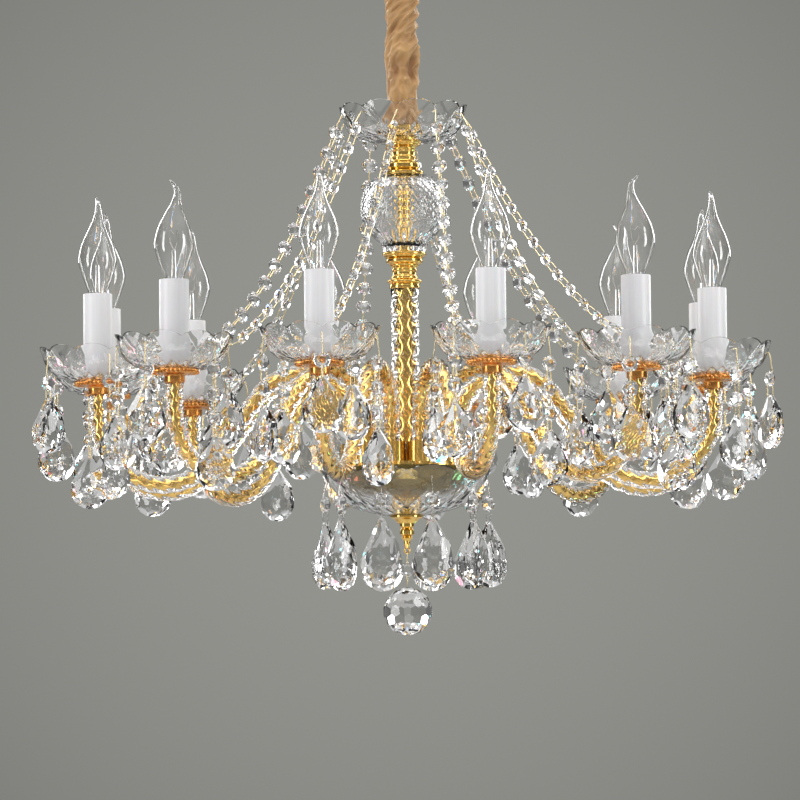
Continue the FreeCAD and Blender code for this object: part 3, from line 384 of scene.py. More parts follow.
def glass_finish(name, index, worn):
    """Clear polished glass, a little rougher where it has been handled."""
    material, tree, shader = new_finish(name)
    set_values(shader, {"Base Color": (1.0, 1.0, 1.0, 1.0), "Transmission Weight": 1.0, "IOR": index})
    wear = marks(tree, Size=90.0, Clean=0.0, Worn=worn, Ripple=0.0)
    tree.links.new(wear.outputs["Roughness"], shader.inputs["Roughness"])
    return material


def metal_finish(name, colour, deep, clean, worn, ripple):
    """Polished metal whose colour deepens slightly in its worn patches."""
    material, tree, shader = new_finish(name)
    set_values(shader, {"Metallic": 1.0})
    wear = marks(tree, Size=120.0, Clean=clean, Worn=worn, Ripple=ripple)
    place = add(tree, "ShaderNodeTexCoord").outputs["Object"]
    cloud = add(tree, "ShaderNodeTexNoise", {"Vector": place, "Scale": 60.0, "Detail": 2.0}).outputs[0]
    share = add(tree, "ShaderNodeMapRange", {"Value": cloud, "From Min": 0.45, "From Max": 0.7}).outputs[0]
    tree.links.new(blend_colours(tree, share, colour, deep), shader.inputs["Base Color"])
    tree.links.new(wear.outputs["Roughness"], shader.inputs["Roughness"])
    tree.links.new(wear.outputs["Normal"], shader.inputs["Normal"])
    return material


def candle_finish():
    """White satin plastic with faint upright streaks from its mould."""
    material, tree, shader = new_finish("Candle white")
    place = add(tree, "ShaderNodeTexCoord").outputs["Object"]
    stretched = add(tree, "ShaderNodeMapping", {"Vector": place, "Scale": (600.0, 600.0, 6.0)}).outputs[0]
    streak = add(tree, "ShaderNodeTexNoise", {"Vector": stretched, "Scale": 1.0, "Detail": 2.0}).outputs[0]
    tree.links.new(blend_colours(tree, streak, (0.80, 0.80, 0.82), (0.90, 0.90, 0.90)),
                   shader.inputs["Base Color"])
    rough = add(tree, "ShaderNodeMapRange", {"Value": streak, "To Min": 0.28, "To Max": 0.42}).outputs[0]
    tree.links.new(rough, shader.inputs["Roughness"])
    bump = add(tree, "ShaderNodeBump", {"Height": streak, "Strength": 0.12, "Distance": 0.0005}).outputs[0]
    tree.links.new(bump, shader.inputs["Normal"])
    set_values(shader, {"Subsurface Weight": 0.1, "Subsurface Scale": 0.003})
    return material


def satin_finish(colour, shade):
    """Tan-gold satin: fine weave, sheen, and a painted highlight on the fold ridges that turns to painted
    shade in the folds.
    """
    material, tree, shader = new_finish("Gathered satin")
    cloth = add(tree, "ShaderNodeUVMap", uv_map="cloth").outputs[0]
    fold = add(tree, "ShaderNodeAttribute", attribute_name="fold").outputs["Fac"]
    warp = add(tree, "ShaderNodeTexWave", {"Vector": cloth, "Scale": 900.0}, bands_direction="X").outputs[1]
    weft = add(tree, "ShaderNodeTexWave", {"Vector": cloth, "Scale": 900.0}, bands_direction="Y").outputs[1]
    weave = math_node(tree, "MULTIPLY", warp, weft)
    mottle = add(tree, "ShaderNodeTexNoise", {"Vector": cloth, "Scale": 60.0, "Detail": 4.0}).outputs[0]
    # Painted highlight on the raised folds and painted shade in the deep ones, set by the fold height with a
    # random mottle
    share = math_node(tree, "MULTIPLY_ADD", mottle, 0.35, fold)
    share = math_node(tree, "SUBTRACT", share, 0.17)
    tree.links.new(blend_colours(tree, share, shade, colour), shader.inputs["Base Color"])
    bump = add(tree, "ShaderNodeBump", {"Height": weave, "Strength": 0.15, "Distance": 0.0002}).outputs[0]
    tree.links.new(bump, shader.inputs["Normal"])
    set_values(shader, {"Roughness": 0.38, "Sheen Weight": 0.5, "Sheen Roughness": 0.35, "Anisotropic": 0.4,
                        "Sheen Tint": (1.0, 0.85, 0.6, 1.0)})
    return material


def glazed_white():
    """Off-white moulded lamp holder."""
    material, tree, shader = new_finish("Holder white")
    wear = marks(tree, Size=80.0, Clean=0.3, Worn=0.5, Ripple=0.05)
    set_values(shader, {"Base Color": (0.75, 0.72, 0.66, 1.0)})
    tree.links.new(wear.outputs["Roughness"], shader.inputs["Roughness"])
    tree.links.new(wear.outputs["Normal"], shader.inputs["Normal"])
    return material


def finish_named(name):
    """The material of that name, made the first time it is asked for."""
    return bpy.data.materials.get(name) or (coloured_metal(name) if name in METALS else FINISHES[name]())


def colours():
    return bpy.context.scene.chandelier_colours


def deeper(colour, share):
    return tuple(value * share for value in colour)


def coloured_metal(name):
    """Metal whose colour is one of the user's, listed under its name."""
    source, deep, clean, worn, ripple = METALS[name]
    shade = tuple(getattr(colours(), source))
    return metal_finish(name, shade, deeper(shade, deep), clean, worn, ripple)


# user's colour, its share in worn patches, clean and worn roughness, and ripple
METALS = {
    "Polished gold": ("gold", 0.82, 0.06, 0.16, 0.02),
    "Dark gold": ("pan_gold", 0.7, 0.1, 0.2, 0.02),
    "Copper gold": ("copper_gold", 0.55, 0.18, 0.32, 0.1),
    "Pale gold wire": ("wire_gold", 0.85, 0.12, 0.2, 0.02),
}
FINISHES = {
    "Cut crystal": lambda: glass_finish("Cut crystal", 1.56, 0.004),
    "Pressed glass": lambda: glass_finish("Pressed glass", 1.5, 0.01),
    "Rope glass": lambda: glass_finish("Rope glass", 1.5, 0.01),
    "Lamp glass": lambda: glass_finish("Lamp glass", 1.46, 0.006),
    "Zinc sheet": lambda: metal_finish("Zinc sheet", (0.62, 0.63, 0.65), (0.5, 0.52, 0.54), 0.3, 0.45, 0.1),
    "Filament wire": lambda: metal_finish("Filament wire", (0.5, 0.47, 0.43), (0.3, 0.28, 0.26), 0.25, 0.4,
                                          0.02),
    "Candle white": candle_finish,
    "Holder white": glazed_white,
    "Gathered satin": lambda: satin_finish(tuple(colours().satin), tuple(colours().satin_shade)),
}


def dress_node(name, finish):
    """Gives a solid that stays in view its material."""
    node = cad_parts[name]
    node.data.materials.clear()
    node.data.materials.append(finish_named(finish))


# ------------------------------------------------------------------ user's sizes and colours
def length(name, description, default):
    return FloatProperty(name=name, description=description, default=default, unit="LENGTH", precision=4)


def colour(name, description, default):
    return FloatVectorProperty(name=name, description=description, default=default, subtype="COLOR", min=0.0,
                               max=1.0)


class ChandelierSizes(bpy.types.PropertyGroup):
    """Sizes of the detail that the looks add"""
    scallop_drop: length("Scallop drop", "Depth of a notch in a bowl's rim", 0.0054)
    cut_depth: length("Cut depth", "Depth of the grooves cut into the bowls", 0.0009)
    cut_width: length("Cut width", "Half width of a groove cut into the bowls", 0.0021)
    arm_radius: length("Arm radius", "Outer radius of a glass arm", 0.008)
    arm_tip_radius: length("Arm tip radius", "Outer radius of an arm under its candle", 0.0063)
    arm_twist: length("Arm twist", "Length of an arm's rib that goes once round it", 0.078)
    column_twist: length("Column twist", "Length of a column's rib that goes once round it", 0.105)
    diamond_depth: length("Diamond depth", "Depth of the cuts round the urn", 0.0011)
    fold_depth: length("Fold depth", "Height of the folds of the fabric sleeve", 0.0066)
    ribs: IntProperty(name="Ribs", description="Ribs round an arm and the column", default=6, min=3, max=16)


class ChandelierColours(bpy.types.PropertyGroup):
    """Colours of the finishes"""
    gold: colour("Gold", "Polished gold fittings", (0.93, 0.60, 0.17))
    pan_gold: colour("Pan gold", "Darker gold of the pan under the arms", (0.23, 0.165, 0.05))
    copper_gold: colour("Copper gold", "Cast rings under the dishes", (0.80, 0.36, 0.10))
    wire_gold: colour("Wire gold", "Wire of the links and hooks", (0.93, 0.78, 0.46))
    # Painted highlight colour of the sleeve's lit folds, and painted shade colour of its deep folds
    satin: colour("Satin", "Lit folds of the fabric sleeve", (0.66, 0.40, 0.165))
    satin_shade: colour("Satin shade", "Deep folds of the fabric sleeve", (0.27, 0.115, 0.03))
    backdrop: colour("Backdrop", "Wall behind the chandelier", (0.290, 0.293, 0.270))


# ------------------------------------------------------------------ pieces
def top_of(node):
    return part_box(node)[1].z


def foot_of(node):
    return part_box(node)[0].z


def groove(distance, width, depth):
    """Depth of a rounded V-shaped cut at a distance from its middle line."""
    share = max(0.0, 1.0 - abs(distance) / width)
    return depth * share * (2.0 - share) * 0.75 + depth * share * 0.25


def cut_bowl(name, outer, inner, first_notch, columns, rows, lift=0.0):
    """Scalloped glass dish. The outer and inner lines list (radius, height) from the rim down to the bore."""
    sizes = bpy.context.scene.chandelier_sizes
    step = 360.0 / SCALLOPS
    lines = [smooth_line(outer, 60), smooth_line(inner, 60)]
    spans = [sum((b - a).length for a, b in zip(line, line[1:])) for line in lines]
    rim_radius = outer[0][0]
    points = []
    counts = (rows, max(8, rows // 2))
    for side, (line, span, count) in enumerate(zip(lines, spans, counts)):
        for row in range(count):
            share = row / (count - 1)
            for column in range(columns):
                azimuth = first_notch + 360.0 * column / columns
                across = (2.0 * ((azimuth - first_notch) / step % 1.0)) - 1.0
                drop = sizes.scallop_drop * across ** 2.0 / span
                place = drop + (1.0 - drop) * share
                point = on_line(line, place)
                if side == 0:
                    depth = bowl_cut((azimuth - first_notch) / step, place, rim_radius, span, sizes)
                    ahead, behind = on_line(line, place + 0.02), on_line(line, place - 0.02)
                    slope = (ahead - behind).normalized()
                    point = point + Vector((slope.y, -slope.x)) * depth
                points.append(polar(point.x, azimuth, point.y + lift))
    faces = band_faces(counts[0], columns)
    base = counts[0] * columns
    for face in band_faces(counts[1], columns):
        faces.append(tuple(base + index for index in reversed(face)))
    last_outer, last_inner = (counts[0] - 1) * columns, base + (counts[1] - 1) * columns
    for column in range(columns):
        beside = (column + 1) % columns
        faces.append((column, base + column, base + beside, beside))
        faces.append((last_outer + column, last_outer + beside, last_inner + beside, last_inner + column))
    mesh = mesh_of(name, points, faces)
    sharpen(mesh, 50.0)
    return mesh


def bowl_cut(place, share, radius, span, sizes):
    """Groove depth at a place, counted in scallops, and a share of the way from the rim to the bore."""
    width = radius * 2 * math.pi / SCALLOPS
    deepest = 0.0
    reach = 0.62                     # the fans of cuts end here, and the short flutes begin
    if share < reach:
        lean = (share / reach) ** 0.85
        for direction in (-1.0, 1.0):
            for spread in (1.0, 0.5):
                offset = place - direction * lean * spread
                near = (offset - round(offset)) * width * (1.0 - 0.45 * share)
                if spread == 1.0 or share > 0.3:
                    deepest = max(deepest, groove(near, sizes.cut_width, sizes.cut_depth))
        scallop = abs(place - math.floor(place) - 0.5) * 2
        arc = share * span - (0.0035 + 0.012 * (1.0 - scallop ** 2))
        if scallop < 0.95:
            deepest = max(deepest, groove(arc, sizes.cut_width * 0.8, sizes.cut_depth * 0.6))
    else:
        offset = (place * 2.0) % 1.0 - 0.5
        fade = max(0.0, 1.0 - (share - reach) / 0.25)
        deepest = groove(offset * width * 0.3, sizes.cut_width, sizes.cut_depth) * fade
    return deepest


class CHANDELIER_OT_bowls(bpy.types.Operator):
    """Cut-glass bowls at the top and the bottom of the stem"""
    bl_idname = "chandelier.bowls"
    bl_label = "Cut-glass bowls"

    def execute(self, context):
        low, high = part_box("top_bowl")
        rim, foot, r = high.z, low.z, high.x
        bore, wall, depth = ROD_BORE, 0.0032, rim - foot
        outer = [(r, rim), (0.90 * r, foot + 0.42 * depth), (0.72 * r, foot + 0.10 * depth), (0.30 * r, foot),
                 (bore, foot)]
        inner = [(r - 0.9 * wall, rim), (0.90 * r - wall, foot + 0.42 * depth),
                 (0.72 * r - 0.6 * wall, foot + 0.10 * depth + wall), (0.30 * r, foot + wall),
                 (bore, foot + wall)]
        mesh = cut_bowl("cut_top_bowl", outer, inner, -5.0, 300, 36)
        place_piece("cut_top_bowl", mesh, finish_named("Pressed glass"), ["top_bowl"])
        low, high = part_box("bottom_bowl")
        rim, foot, r = high.z, low.z, high.x
        depth = rim - foot
        outer = [(r, rim), (0.955 * r, rim - 0.14 * depth), (0.865 * r, rim - 0.40 * depth),
                 (0.70 * r, rim - 0.73 * depth), (0.48 * r, rim - 0.90 * depth), (0.20 * r, foot),
                 (bore, foot)]
        inner = [(r - 0.9 * wall, rim), (0.955 * r - wall, rim - 0.14 * depth),
                 (0.865 * r - wall, rim - 0.40 * depth + 0.2 * wall),
                 (0.70 * r - 0.7 * wall, rim - 0.73 * depth + 0.8 * wall),
                 (0.48 * r - 0.4 * wall, rim - 0.90 * depth + wall), (0.20 * r, foot + wall),
                 (bore, foot + wall)]
        mesh = cut_bowl("cut_bottom_bowl", outer, inner, 0.0, 340, 44)
        place_piece("cut_bottom_bowl", mesh, finish_named("Pressed glass"), ["bottom_bowl"])
        return {"FINISHED"}


class CHANDELIER_OT_dishes(bpy.types.Operator):
    """Scalloped drip dish under every candle"""
    bl_idname = "chandelier.dishes"
    bl_label = "Drip dishes"

    def execute(self, context):
        low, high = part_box("bobeches")
        foot, height, r = low.z, high.z - low.z, 0.0523
        wall, bore = 0.003, TUBE_BORE
        outer = [(r, height), (0.945 * r, 0.70 * height), (0.865 * r, 0.40 * height),
                 (0.745 * r, 0.18 * height), (0.60 * r, 0.05 * height), (0.42 * r, 0.0), (bore, 0.0)]
        inner = [(r - 0.8 * wall, height), (0.945 * r - wall, 0.70 * height),
                 (0.865 * r - wall, 0.40 * height + 0.2 * wall),
                 (0.745 * r - 0.7 * wall, 0.18 * height + 0.7 * wall),
                 (0.60 * r - 0.3 * wall, 0.05 * height + wall), (0.42 * r, wall), (bore, wall)]
        shape = cut_bowl("drip_dish", outer, inner, 18.0, 160, 24)
        places = [polar(ARM_REACH, azimuth, foot) for azimuth in ARMS]
        mesh = copies_of("cut_drip_dishes", shape, places, ARMS, finish_named("Pressed glass"))
        place_piece("cut_drip_dishes", mesh, finish_named("Pressed glass"), ["bobeches"])
        return {"FINISHED"}


def arc_points(centre, radius, start, end, count):
    """Points along an arc in the plane of radius and height, without its first one."""
    return [centre + Vector((math.cos(turn), math.sin(turn))) * radius
            for turn in (start + (end - start) * step / count for step in range(1, count + 1))]


def arm_line(top, arm_radius):
    """Middle line of an arm as (radius, height), from its foot in the cup to its tip under the candle."""
    arch_r, trough_r = 0.048, 0.058
    arch = Vector((0.097, top - arm_radius - arch_r))
    trough = Vector((ARM_REACH - trough_r, arch.y + 0.0045))
    gap = trough - arch
    leave = math.atan2(gap.y, gap.x) + math.acos((arch_r + trough_r) / gap.length)
    line = [Vector((arch.x - arch_r, arch.y - 0.030)), Vector((arch.x - arch_r, arch.y))]
    line += arc_points(arch, arch_r, math.pi, leave, 24)
    line.append(trough - Vector((math.cos(leave), math.sin(leave))) * trough_r)
    line += arc_points(trough, trough_r, leave - math.pi, 0.0, 28)
    return line + [Vector((ARM_REACH, trough.y + TIP_RISE))]


class CHANDELIER_OT_arms(bpy.types.Operator):
    """Rope-twisted glass arms"""
    bl_idname = "chandelier.arms"
    bl_label = "Glass arms"

    def execute(self, context):
        sizes = context.scene.chandelier_sizes
        line = arm_line(top_of("glass_arms"), sizes.arm_radius)
        points, edges = [], []
        for azimuth in ARMS:
            edges += [(len(points) + step, len(points) + step + 1) for step in range(len(line) - 1)]
            points += [polar(point.x, azimuth, point.y) for point in line]
        base = bpy.data.meshes.new("arm_lines")
        base.from_pydata(points, edges, [])
        mesh = bake_tree("twisted_arms", base, tree_named("Twisted glass"), {
            "Radius": sizes.arm_radius, "Tip radius": sizes.arm_tip_radius, "Tip length": TIP_RISE,
            "Ribs": sizes.ribs, "Rib depth": 0.17, "Twist length": sizes.arm_twist, "Step": 0.0028,
            "Around": 36, "Material": finish_named("Rope glass")})
        place_piece("twisted_arms", mesh, finish_named("Rope glass"), ["glass_arms"])
        return {"FINISHED"}


class CHANDELIER_OT_column(bpy.types.Operator):
    """Rope-twisted glass column between the collar and the arms"""
    bl_idname = "chandelier.column"
    bl_label = "Twisted column"

    def execute(self, context):
        sizes = context.scene.chandelier_sizes
        low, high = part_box("column")
        count = 40
        base = bpy.data.meshes.new("column_line")
        base.from_pydata([(0, 0, high.z + (low.z - high.z) * step / count) for step in range(count + 1)],
                         [(step, step + 1) for step in range(count)], [])
        mesh = bake_tree("twisted_column", base, tree_named("Twisted glass"), {
            "Radius": 0.013, "Tip radius": 0.013, "Tip length": 0.01, "Ribs": sizes.ribs, "Rib depth": 0.15,
            "Twist length": sizes.column_twist, "Step": 0.002, "Around": 72,
            "Material": finish_named("Rope glass")})
        place_piece("twisted_column", mesh, finish_named("Rope glass"), ["column"])
        return {"FINISHED"}


class CHANDELIER_OT_urn(bpy.types.Operator):
    """Hollow glass urn cut with diamonds and long lenses"""
    bl_idname = "chandelier.urn"
    bl_label = "Cut urn"

    def execute(self, context):
        sizes = context.scene.chandelier_sizes
        low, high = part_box("baluster")
        top, height, wide = high.z, high.z - low.z, high.x
        end, wall, bore = 0.019, 0.006, ROD_BORE
        outer = [(end, 0.0), (end + 0.008, -0.035 * height), (end + 0.015, -0.13 * height),
                 (0.965 * wide, -0.29 * height), (wide, -0.45 * height), (0.94 * wide, -0.61 * height),
                 (0.76 * wide, -0.77 * height), (0.55 * wide, -0.90 * height), (end, -height)]
        inner = [(bore, -wall), (end, -wall), (end + 0.015 - wall, -0.13 * height - 0.5 * wall),
                 (0.965 * wide - wall, -0.29 * height), (wide - wall, -0.45 * height),
                 (0.94 * wide - wall, -0.61 * height), (0.76 * wide - wall, -0.77 * height),
                 (end - wall, -height + wall), (bore, -height + wall)]
        rows, columns = 64, 288
        line, lining = smooth_line(outer, 80), smooth_line(inner, 60)
        points = [polar(bore, 360.0 * column / columns, top) for column in range(columns)]
        for row in range(rows):
            share = row / (rows - 1)
            point = on_line(line, share)
            ahead, behind = on_line(line, share + 0.01), on_line(line, share - 0.01)
            slope = (ahead - behind).normalized()
            for column in range(columns):
                depth = urn_cut(column / columns, share, sizes.diamond_depth)
                moved = point + Vector((slope.y, -slope.x)) * depth
                points.append(polar(moved.x, 360.0 * column / columns, top + moved.y))
        points += [polar(bore, 360.0 * column / columns, top - height) for column in range(columns)]
        inner_rows = 30
        for row in range(inner_rows):
            point = on_line(lining, 1.0 - row / (inner_rows - 1))
            points += [polar(point.x, 360.0 * column / columns, top + point.y) for column in range(columns)]
        mesh = mesh_of("cut_urn", points, band_faces(rows + 2 + inner_rows, columns, close_rows=True))
        sharpen(mesh, 60.0)
        place_piece("cut_urn", mesh, finish_named("Pressed glass"), ["baluster"])
        return {"FINISHED"}


def urn_cut(turn, share, depth):
    """Depth of the cuts at a share of a turn round the urn and a share of the way down its outside."""
    if share < 0.22:
        lens = abs((turn * 24) % 1.0 - 0.5) * 2
        return depth * 1.1 * max(0.0, 1.0 - lens ** 2) * math.sin(math.pi * share / 0.22)
    if share < 0.70:
        across, down = turn * 36, (share - 0.22) * 12.0
        first = abs((across + down) % 1.0 - 0.5) * 2
        second = abs((across - down) % 1.0 - 0.5) * 2
        return depth * max(1.0 - (1.0 - first) * 2.4, 1.0 - (1.0 - second) * 2.4, 0.0)
    lens = abs((turn * 20) % 1.0 - 0.5) * 2
    return depth * 1.6 * max(0.0, 1.0 - lens ** 2) * math.sin(math.pi * min(1.0, (share - 0.70) / 0.30))


def rounded_profile(outline, radius):
    """Closed outline with its corners rounded by three points each."""
    count = len(outline)
    profile = []
    for index, corner in enumerate(outline):
        here = Vector(corner)
        before, after = Vector(outline[index - 1]), Vector(outline[(index + 1) % count])
        reach = min(radius, 0.4 * (before - here).length, 0.4 * (after - here).length)
        start = here + (before - here).normalized() * reach
        end = here + (after - here).normalized() * reach
        profile += [start, start.lerp(end, 0.5).lerp(here, 0.42), end]
    return [(point.x, point.y) for point in profile]


class CHANDELIER_OT_fittings(bpy.types.Operator):
    """Turned gold fittings on the stem"""
    bl_idname = "chandelier.fittings"
    bl_label = "Turned fittings"

    def execute(self, context):
        # each step is a radius and a share of the height, from the top down
        neck = [(0.0165, 0.0), (0.0165, -0.05), (0.0150, -0.07), (0.0150, -0.11), (0.0125, -0.15),
                 (0.0108, -0.20), (0.0118, -0.25), (0.0104, -0.30), (0.0104, -0.42), (0.0118, -0.47),
                 (0.0108, -0.53), (0.0120, -0.60), (0.0145, -0.66), (0.0145, -0.80), (0.0122, -0.83),
                 (0.0135, -0.86), (0.0180, -0.90), (0.0180, -0.96), (0.0165, -1.0)]
        collar = [(0.0180, 0.0), (0.0200, -0.03), (0.0200, -0.09), (0.0183, -0.11), (0.0183, -0.15),
                 (0.0150, -0.17), (0.0165, -0.19), (0.0168, -0.26), (0.0160, -0.31), (0.0132, -0.34),
                 (0.0132, -0.38), (0.0120, -0.41), (0.0108, -0.44), (0.0119, -0.49), (0.0108, -0.54),
                 (0.0108, -0.62), (0.0122, -0.68), (0.0122, -0.73), (0.0155, -0.77), (0.0160, -0.80),
                 (0.0155, -0.84), (0.0128, -0.87), (0.0138, -0.92), (0.0138, -1.0)]
        for name, node, steps in (("turned_neck", "upper_neck", neck),
                                  ("turned_collar", "stem_collar", collar)):
            top = top_of(node)
            height = top - foot_of(node)
            outline = [(ROD_BORE, 0.0)] + [(radius, share * height) for radius, share in steps] \
                + [(ROD_BORE, -height)]
            profile = [(radius, top + z) for radius, z in rounded_profile(outline, 0.0008)]
            place_piece(name, turned_mesh(name, profile, 72), finish_named("Polished gold"), [node])
        for name in ("canopy", "canopy_collar", "hanging_hook", "swivel_link", "chain_links", "top_loop",
                     "centre_rod", "arm_nuts", "pan_spacer", "end_cap", "finial", "arm_tubes", "lamp_caps",
                     "arm_receiver"):
            dress_node(name, "Polished gold")
        dress_node("receiver_pan", "Dark gold")
        dress_node("ceiling_bracket", "Zinc sheet")
        return {"FINISHED"}


class CHANDELIER_OT_galleries(bpy.types.Operator):
    """Cast rope-edged ring under every dish"""
    bl_idname = "chandelier.galleries"
    bl_label = "Gallery rings"

    def execute(self, context):
        copper = finish_named("Copper gold")
        low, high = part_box("gallery_rings")
        height = high.z - low.z
        outline = [(TUBE_BORE, height), (0.0205, height), (0.0205, height - 0.0012),
                   (0.0160, height - 0.0035), (0.0100, height - 0.0045), (0.0090, height - 0.0055),
                   (0.0090, 0.0), (0.0072, 0.0), (0.0068, height - 0.006), (TUBE_BORE, height - 0.006)]
        plate = turned_mesh("gallery_plate", rounded_profile(outline, 0.0005), 40)
        beads = bake_tree("gallery_beads", bpy.data.meshes.new("none"), tree_named("Bead ring"), {
            "Ring radius": 0.0204, "Beads": 36, "Bead radius": 0.0015, "Stretch": 1.35, "Slant": 0.7,
            "Material": copper})
        for vertex in beads.vertices:
            vertex.co.z += height - 0.0022
        both = bmesh.new()
        both.from_mesh(plate)
        both.from_mesh(beads)
        joined = bpy.data.meshes.new("gallery_ring")
        both.to_mesh(joined)
        both.free()
        places = [polar(ARM_REACH, azimuth, low.z) for azimuth in ARMS]
        mesh = copies_of("rope_galleries", joined, places, ARMS, copper)
        place_piece("rope_galleries", mesh, copper, ["gallery_rings"])
        return {"FINISHED"}


class CHANDELIER_OT_candles(bpy.types.Operator):
    """White candle sleeves and the lamp holders in them"""
    bl_idname = "chandelier.candles"
    bl_label = "Candles"

    def execute(self, context):
        low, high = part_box("candle_sleeves")
        height, outer, wall = high.z - low.z, 0.013, 0.0015
        outline = [(outer, 0.0), (outer, height), (outer - wall, height), (outer - wall, 0.0)]
        shape = turned_mesh("candle", rounded_profile(outline, 0.0005), 48)
        places = [polar(ARM_REACH, azimuth, low.z) for azimuth in ARMS]
        mesh = copies_of("white_candles", shape, places, ARMS, finish_named("Candle white"))
        place_piece("white_candles", mesh, finish_named("Candle white"), ["candle_sleeves"])
        dress_node("lamp_holders", "Holder white")
        return {"FINISHED"}


def flame_shape(shrink):
    """Rings of a flame-shaped lamp whose tip leans towards +X, from its neck up."""
    height = top_of("bulbs") - foot_of("bulbs")
    shape = [(0.0082, 0.0, 0.0), (0.0087, 0.12, 0.0), (0.0134, 0.25, 0.0), (0.0172, 0.38, 0.0),
             (0.0173, 0.45, 0.0), (0.0142, 0.57, 0.0), (0.0088, 0.69, 0.0006), (0.0050, 0.78, 0.0022),
             (0.0032, 0.86, 0.0034), (0.0022, 0.93, 0.0022), (0.0012, 0.985, -0.0022), (0.0004, 1.0, -0.0034)]
    line = smooth_line(shape, 40)
    return [(max(point.x - shrink, 0.0001), point.y * height, point.z) for point in line]


class CHANDELIER_OT_lamps(bpy.types.Operator):
    """Clear bent-tip lamps with their glass stems and filaments"""
    bl_idname = "chandelier.lamps"
    bl_label = "Lamps"

    def execute(self, context):
        columns, points, faces = 28, [], []
        for shrink, flip in ((0.0, False), (0.0006, True)):
            rings = flame_shape(shrink)
            if flip:
                rings = [(radius, max(z, 0.0006), lean) for radius, z, lean in rings[:-2]]
            base = len(points)
            for radius, z, lean in rings:
                for column in range(columns):
                    turn = 2 * math.pi * column / columns
                    points.append(Vector((radius * math.cos(turn) + lean, radius * math.sin(turn), z)))
            for face in band_faces(len(rings), columns):
                faces.append(tuple(base + index for index in (reversed(face) if flip else face)))
            loops = [list(range(base, base + columns)),
                     list(range(base + (len(rings) - 1) * columns, base + len(rings) * columns))]
            faces.append(loops[1] if not flip else loops[1][::-1])
            faces.append(loops[0][::-1] if not flip else loops[0])
        lamp = bpy.data.meshes.new("lamp")
        lamp.from_pydata(points, [], faces)
        for polygon in lamp.polygons:
            polygon.use_smooth = len(polygon.vertices) == 4
        glass = finish_named("Lamp glass")
        low = foot_of("bulbs")
        places = [polar(ARM_REACH, azimuth, low) for azimuth in ARMS]
        mesh = copies_of("flame_lamps", lamp, places, [lean - 90.0 for lean in LEANS], glass)
        place_piece("flame_lamps", mesh, glass, ["bulbs"])
        dress_node("bulb_stems", "Lamp glass")
        dress_node("bulb_filaments", "Filament wire")
        return {"FINISHED"}


class CHANDELIER_OT_crystals(bpy.types.Operator):
    """Almond drops, beads, ball and their wires"""
    bl_idname = "chandelier.crystals"
    bl_label = "Crystals and wires"

    def execute(self, context):
        bottom_drops = ["bottom_drop_%02d" % (index + 1) for index in range(SCALLOPS)]
        for name in ["bobeche_drops", "garland_beads", "pendant_bead", "pendant_ball"] + bottom_drops:
            dress_node(name, "Cut crystal")
        for name in ("drop_wires", "garland_wires", "pendant_hook", "pendant_link"):
            dress_node(name, "Pale gold wire")
        return {"FINISHED"}


class CHANDELIER_OT_sleeve(bpy.types.Operator):
    """Gathered satin sleeve over the chain"""
    bl_idname = "chandelier.sleeve"
    bl_label = "Satin sleeve"

    def execute(self, context):
        sizes = context.scene.chandelier_sizes
        low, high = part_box("fabric_sleeve")
        rows, columns = 260, 132
        base_radius, cloth_width = 0.0135, 0.1
        length_down = high.z - low.z
        points, folds = [], []
        for row in range(rows):
            share = row / (rows - 1)
            z = high.z - length_down * share
            for column in range(columns):
                turn = 2 * math.pi * column / columns
                fold = satin_fold(turn, share, length_down)
                radius = base_radius + sizes.fold_depth * 0.5 * fold
                points.append(Vector((radius * math.cos(turn), radius * math.sin(turn), z)))
                # Fold height, from 0 in a deep fold to 1 on a ridge; the satin material paints shade and
                # highlight by it
                folds.append(0.5 + 0.5 * fold)
        mesh = bpy.data.meshes.new("satin_sleeve")
        mesh.from_pydata(points, [], [tuple(reversed(face)) for face in band_faces(rows, columns)])
        mesh.attributes.new("fold", "FLOAT", "POINT").data.foreach_set("value", folds)
        uv = mesh.uv_layers.new(name="cloth")
        for polygon in mesh.polygons:
            polygon.use_smooth = True
            columns_here = [mesh.loops[loop].vertex_index % columns for loop in polygon.loop_indices]
            wraps = max(columns_here) - min(columns_here) > columns / 2
            for loop, column in zip(polygon.loop_indices, columns_here):
                row = mesh.loops[loop].vertex_index // columns
                column += columns if wraps and column < columns / 2 else 0
                uv.data[loop].uv = (column / columns * cloth_width, row / rows * length_down)
        piece = place_piece("satin_sleeve", mesh, finish_named("Gathered satin"),
                            ["fabric_sleeve"])
        thicken = piece.modifiers.new("Cloth thickness", "SOLIDIFY")
        thicken.thickness = 0.0004
        thicken.offset = -1.0
        return {"FINISHED"}


def satin_fold(turn, share, length_down):
    """Height of the folds, from -1 to 1: ridges that wind down the sleeve, crumpled by finer creases."""
    down = share * length_down
    wind = down * 46.0 + 1.5 * math.sin(down * 33.0)
    across = Vector((math.cos(turn + wind), math.sin(turn + wind), 0.0))
    main = 1.0 - 2.6 * abs(noise.noise(across * 1.25 + Vector((3.0, 1.0, down * 34.0))))
    fine = 1.0 - 2.6 * abs(noise.noise(across * 2.6 + Vector((9.0, 4.0, down * 95.0))))
    swell = noise.noise(Vector((down * 40.0, 7.0, 2.0)))
    return max(-1.0, min(1.0, 0.75 * main + 0.35 * fine + 0.5 * swell - 0.35))


# ------------------------------------------------------------------ stage
WHITE = (1.0, 1.0, 1.0)
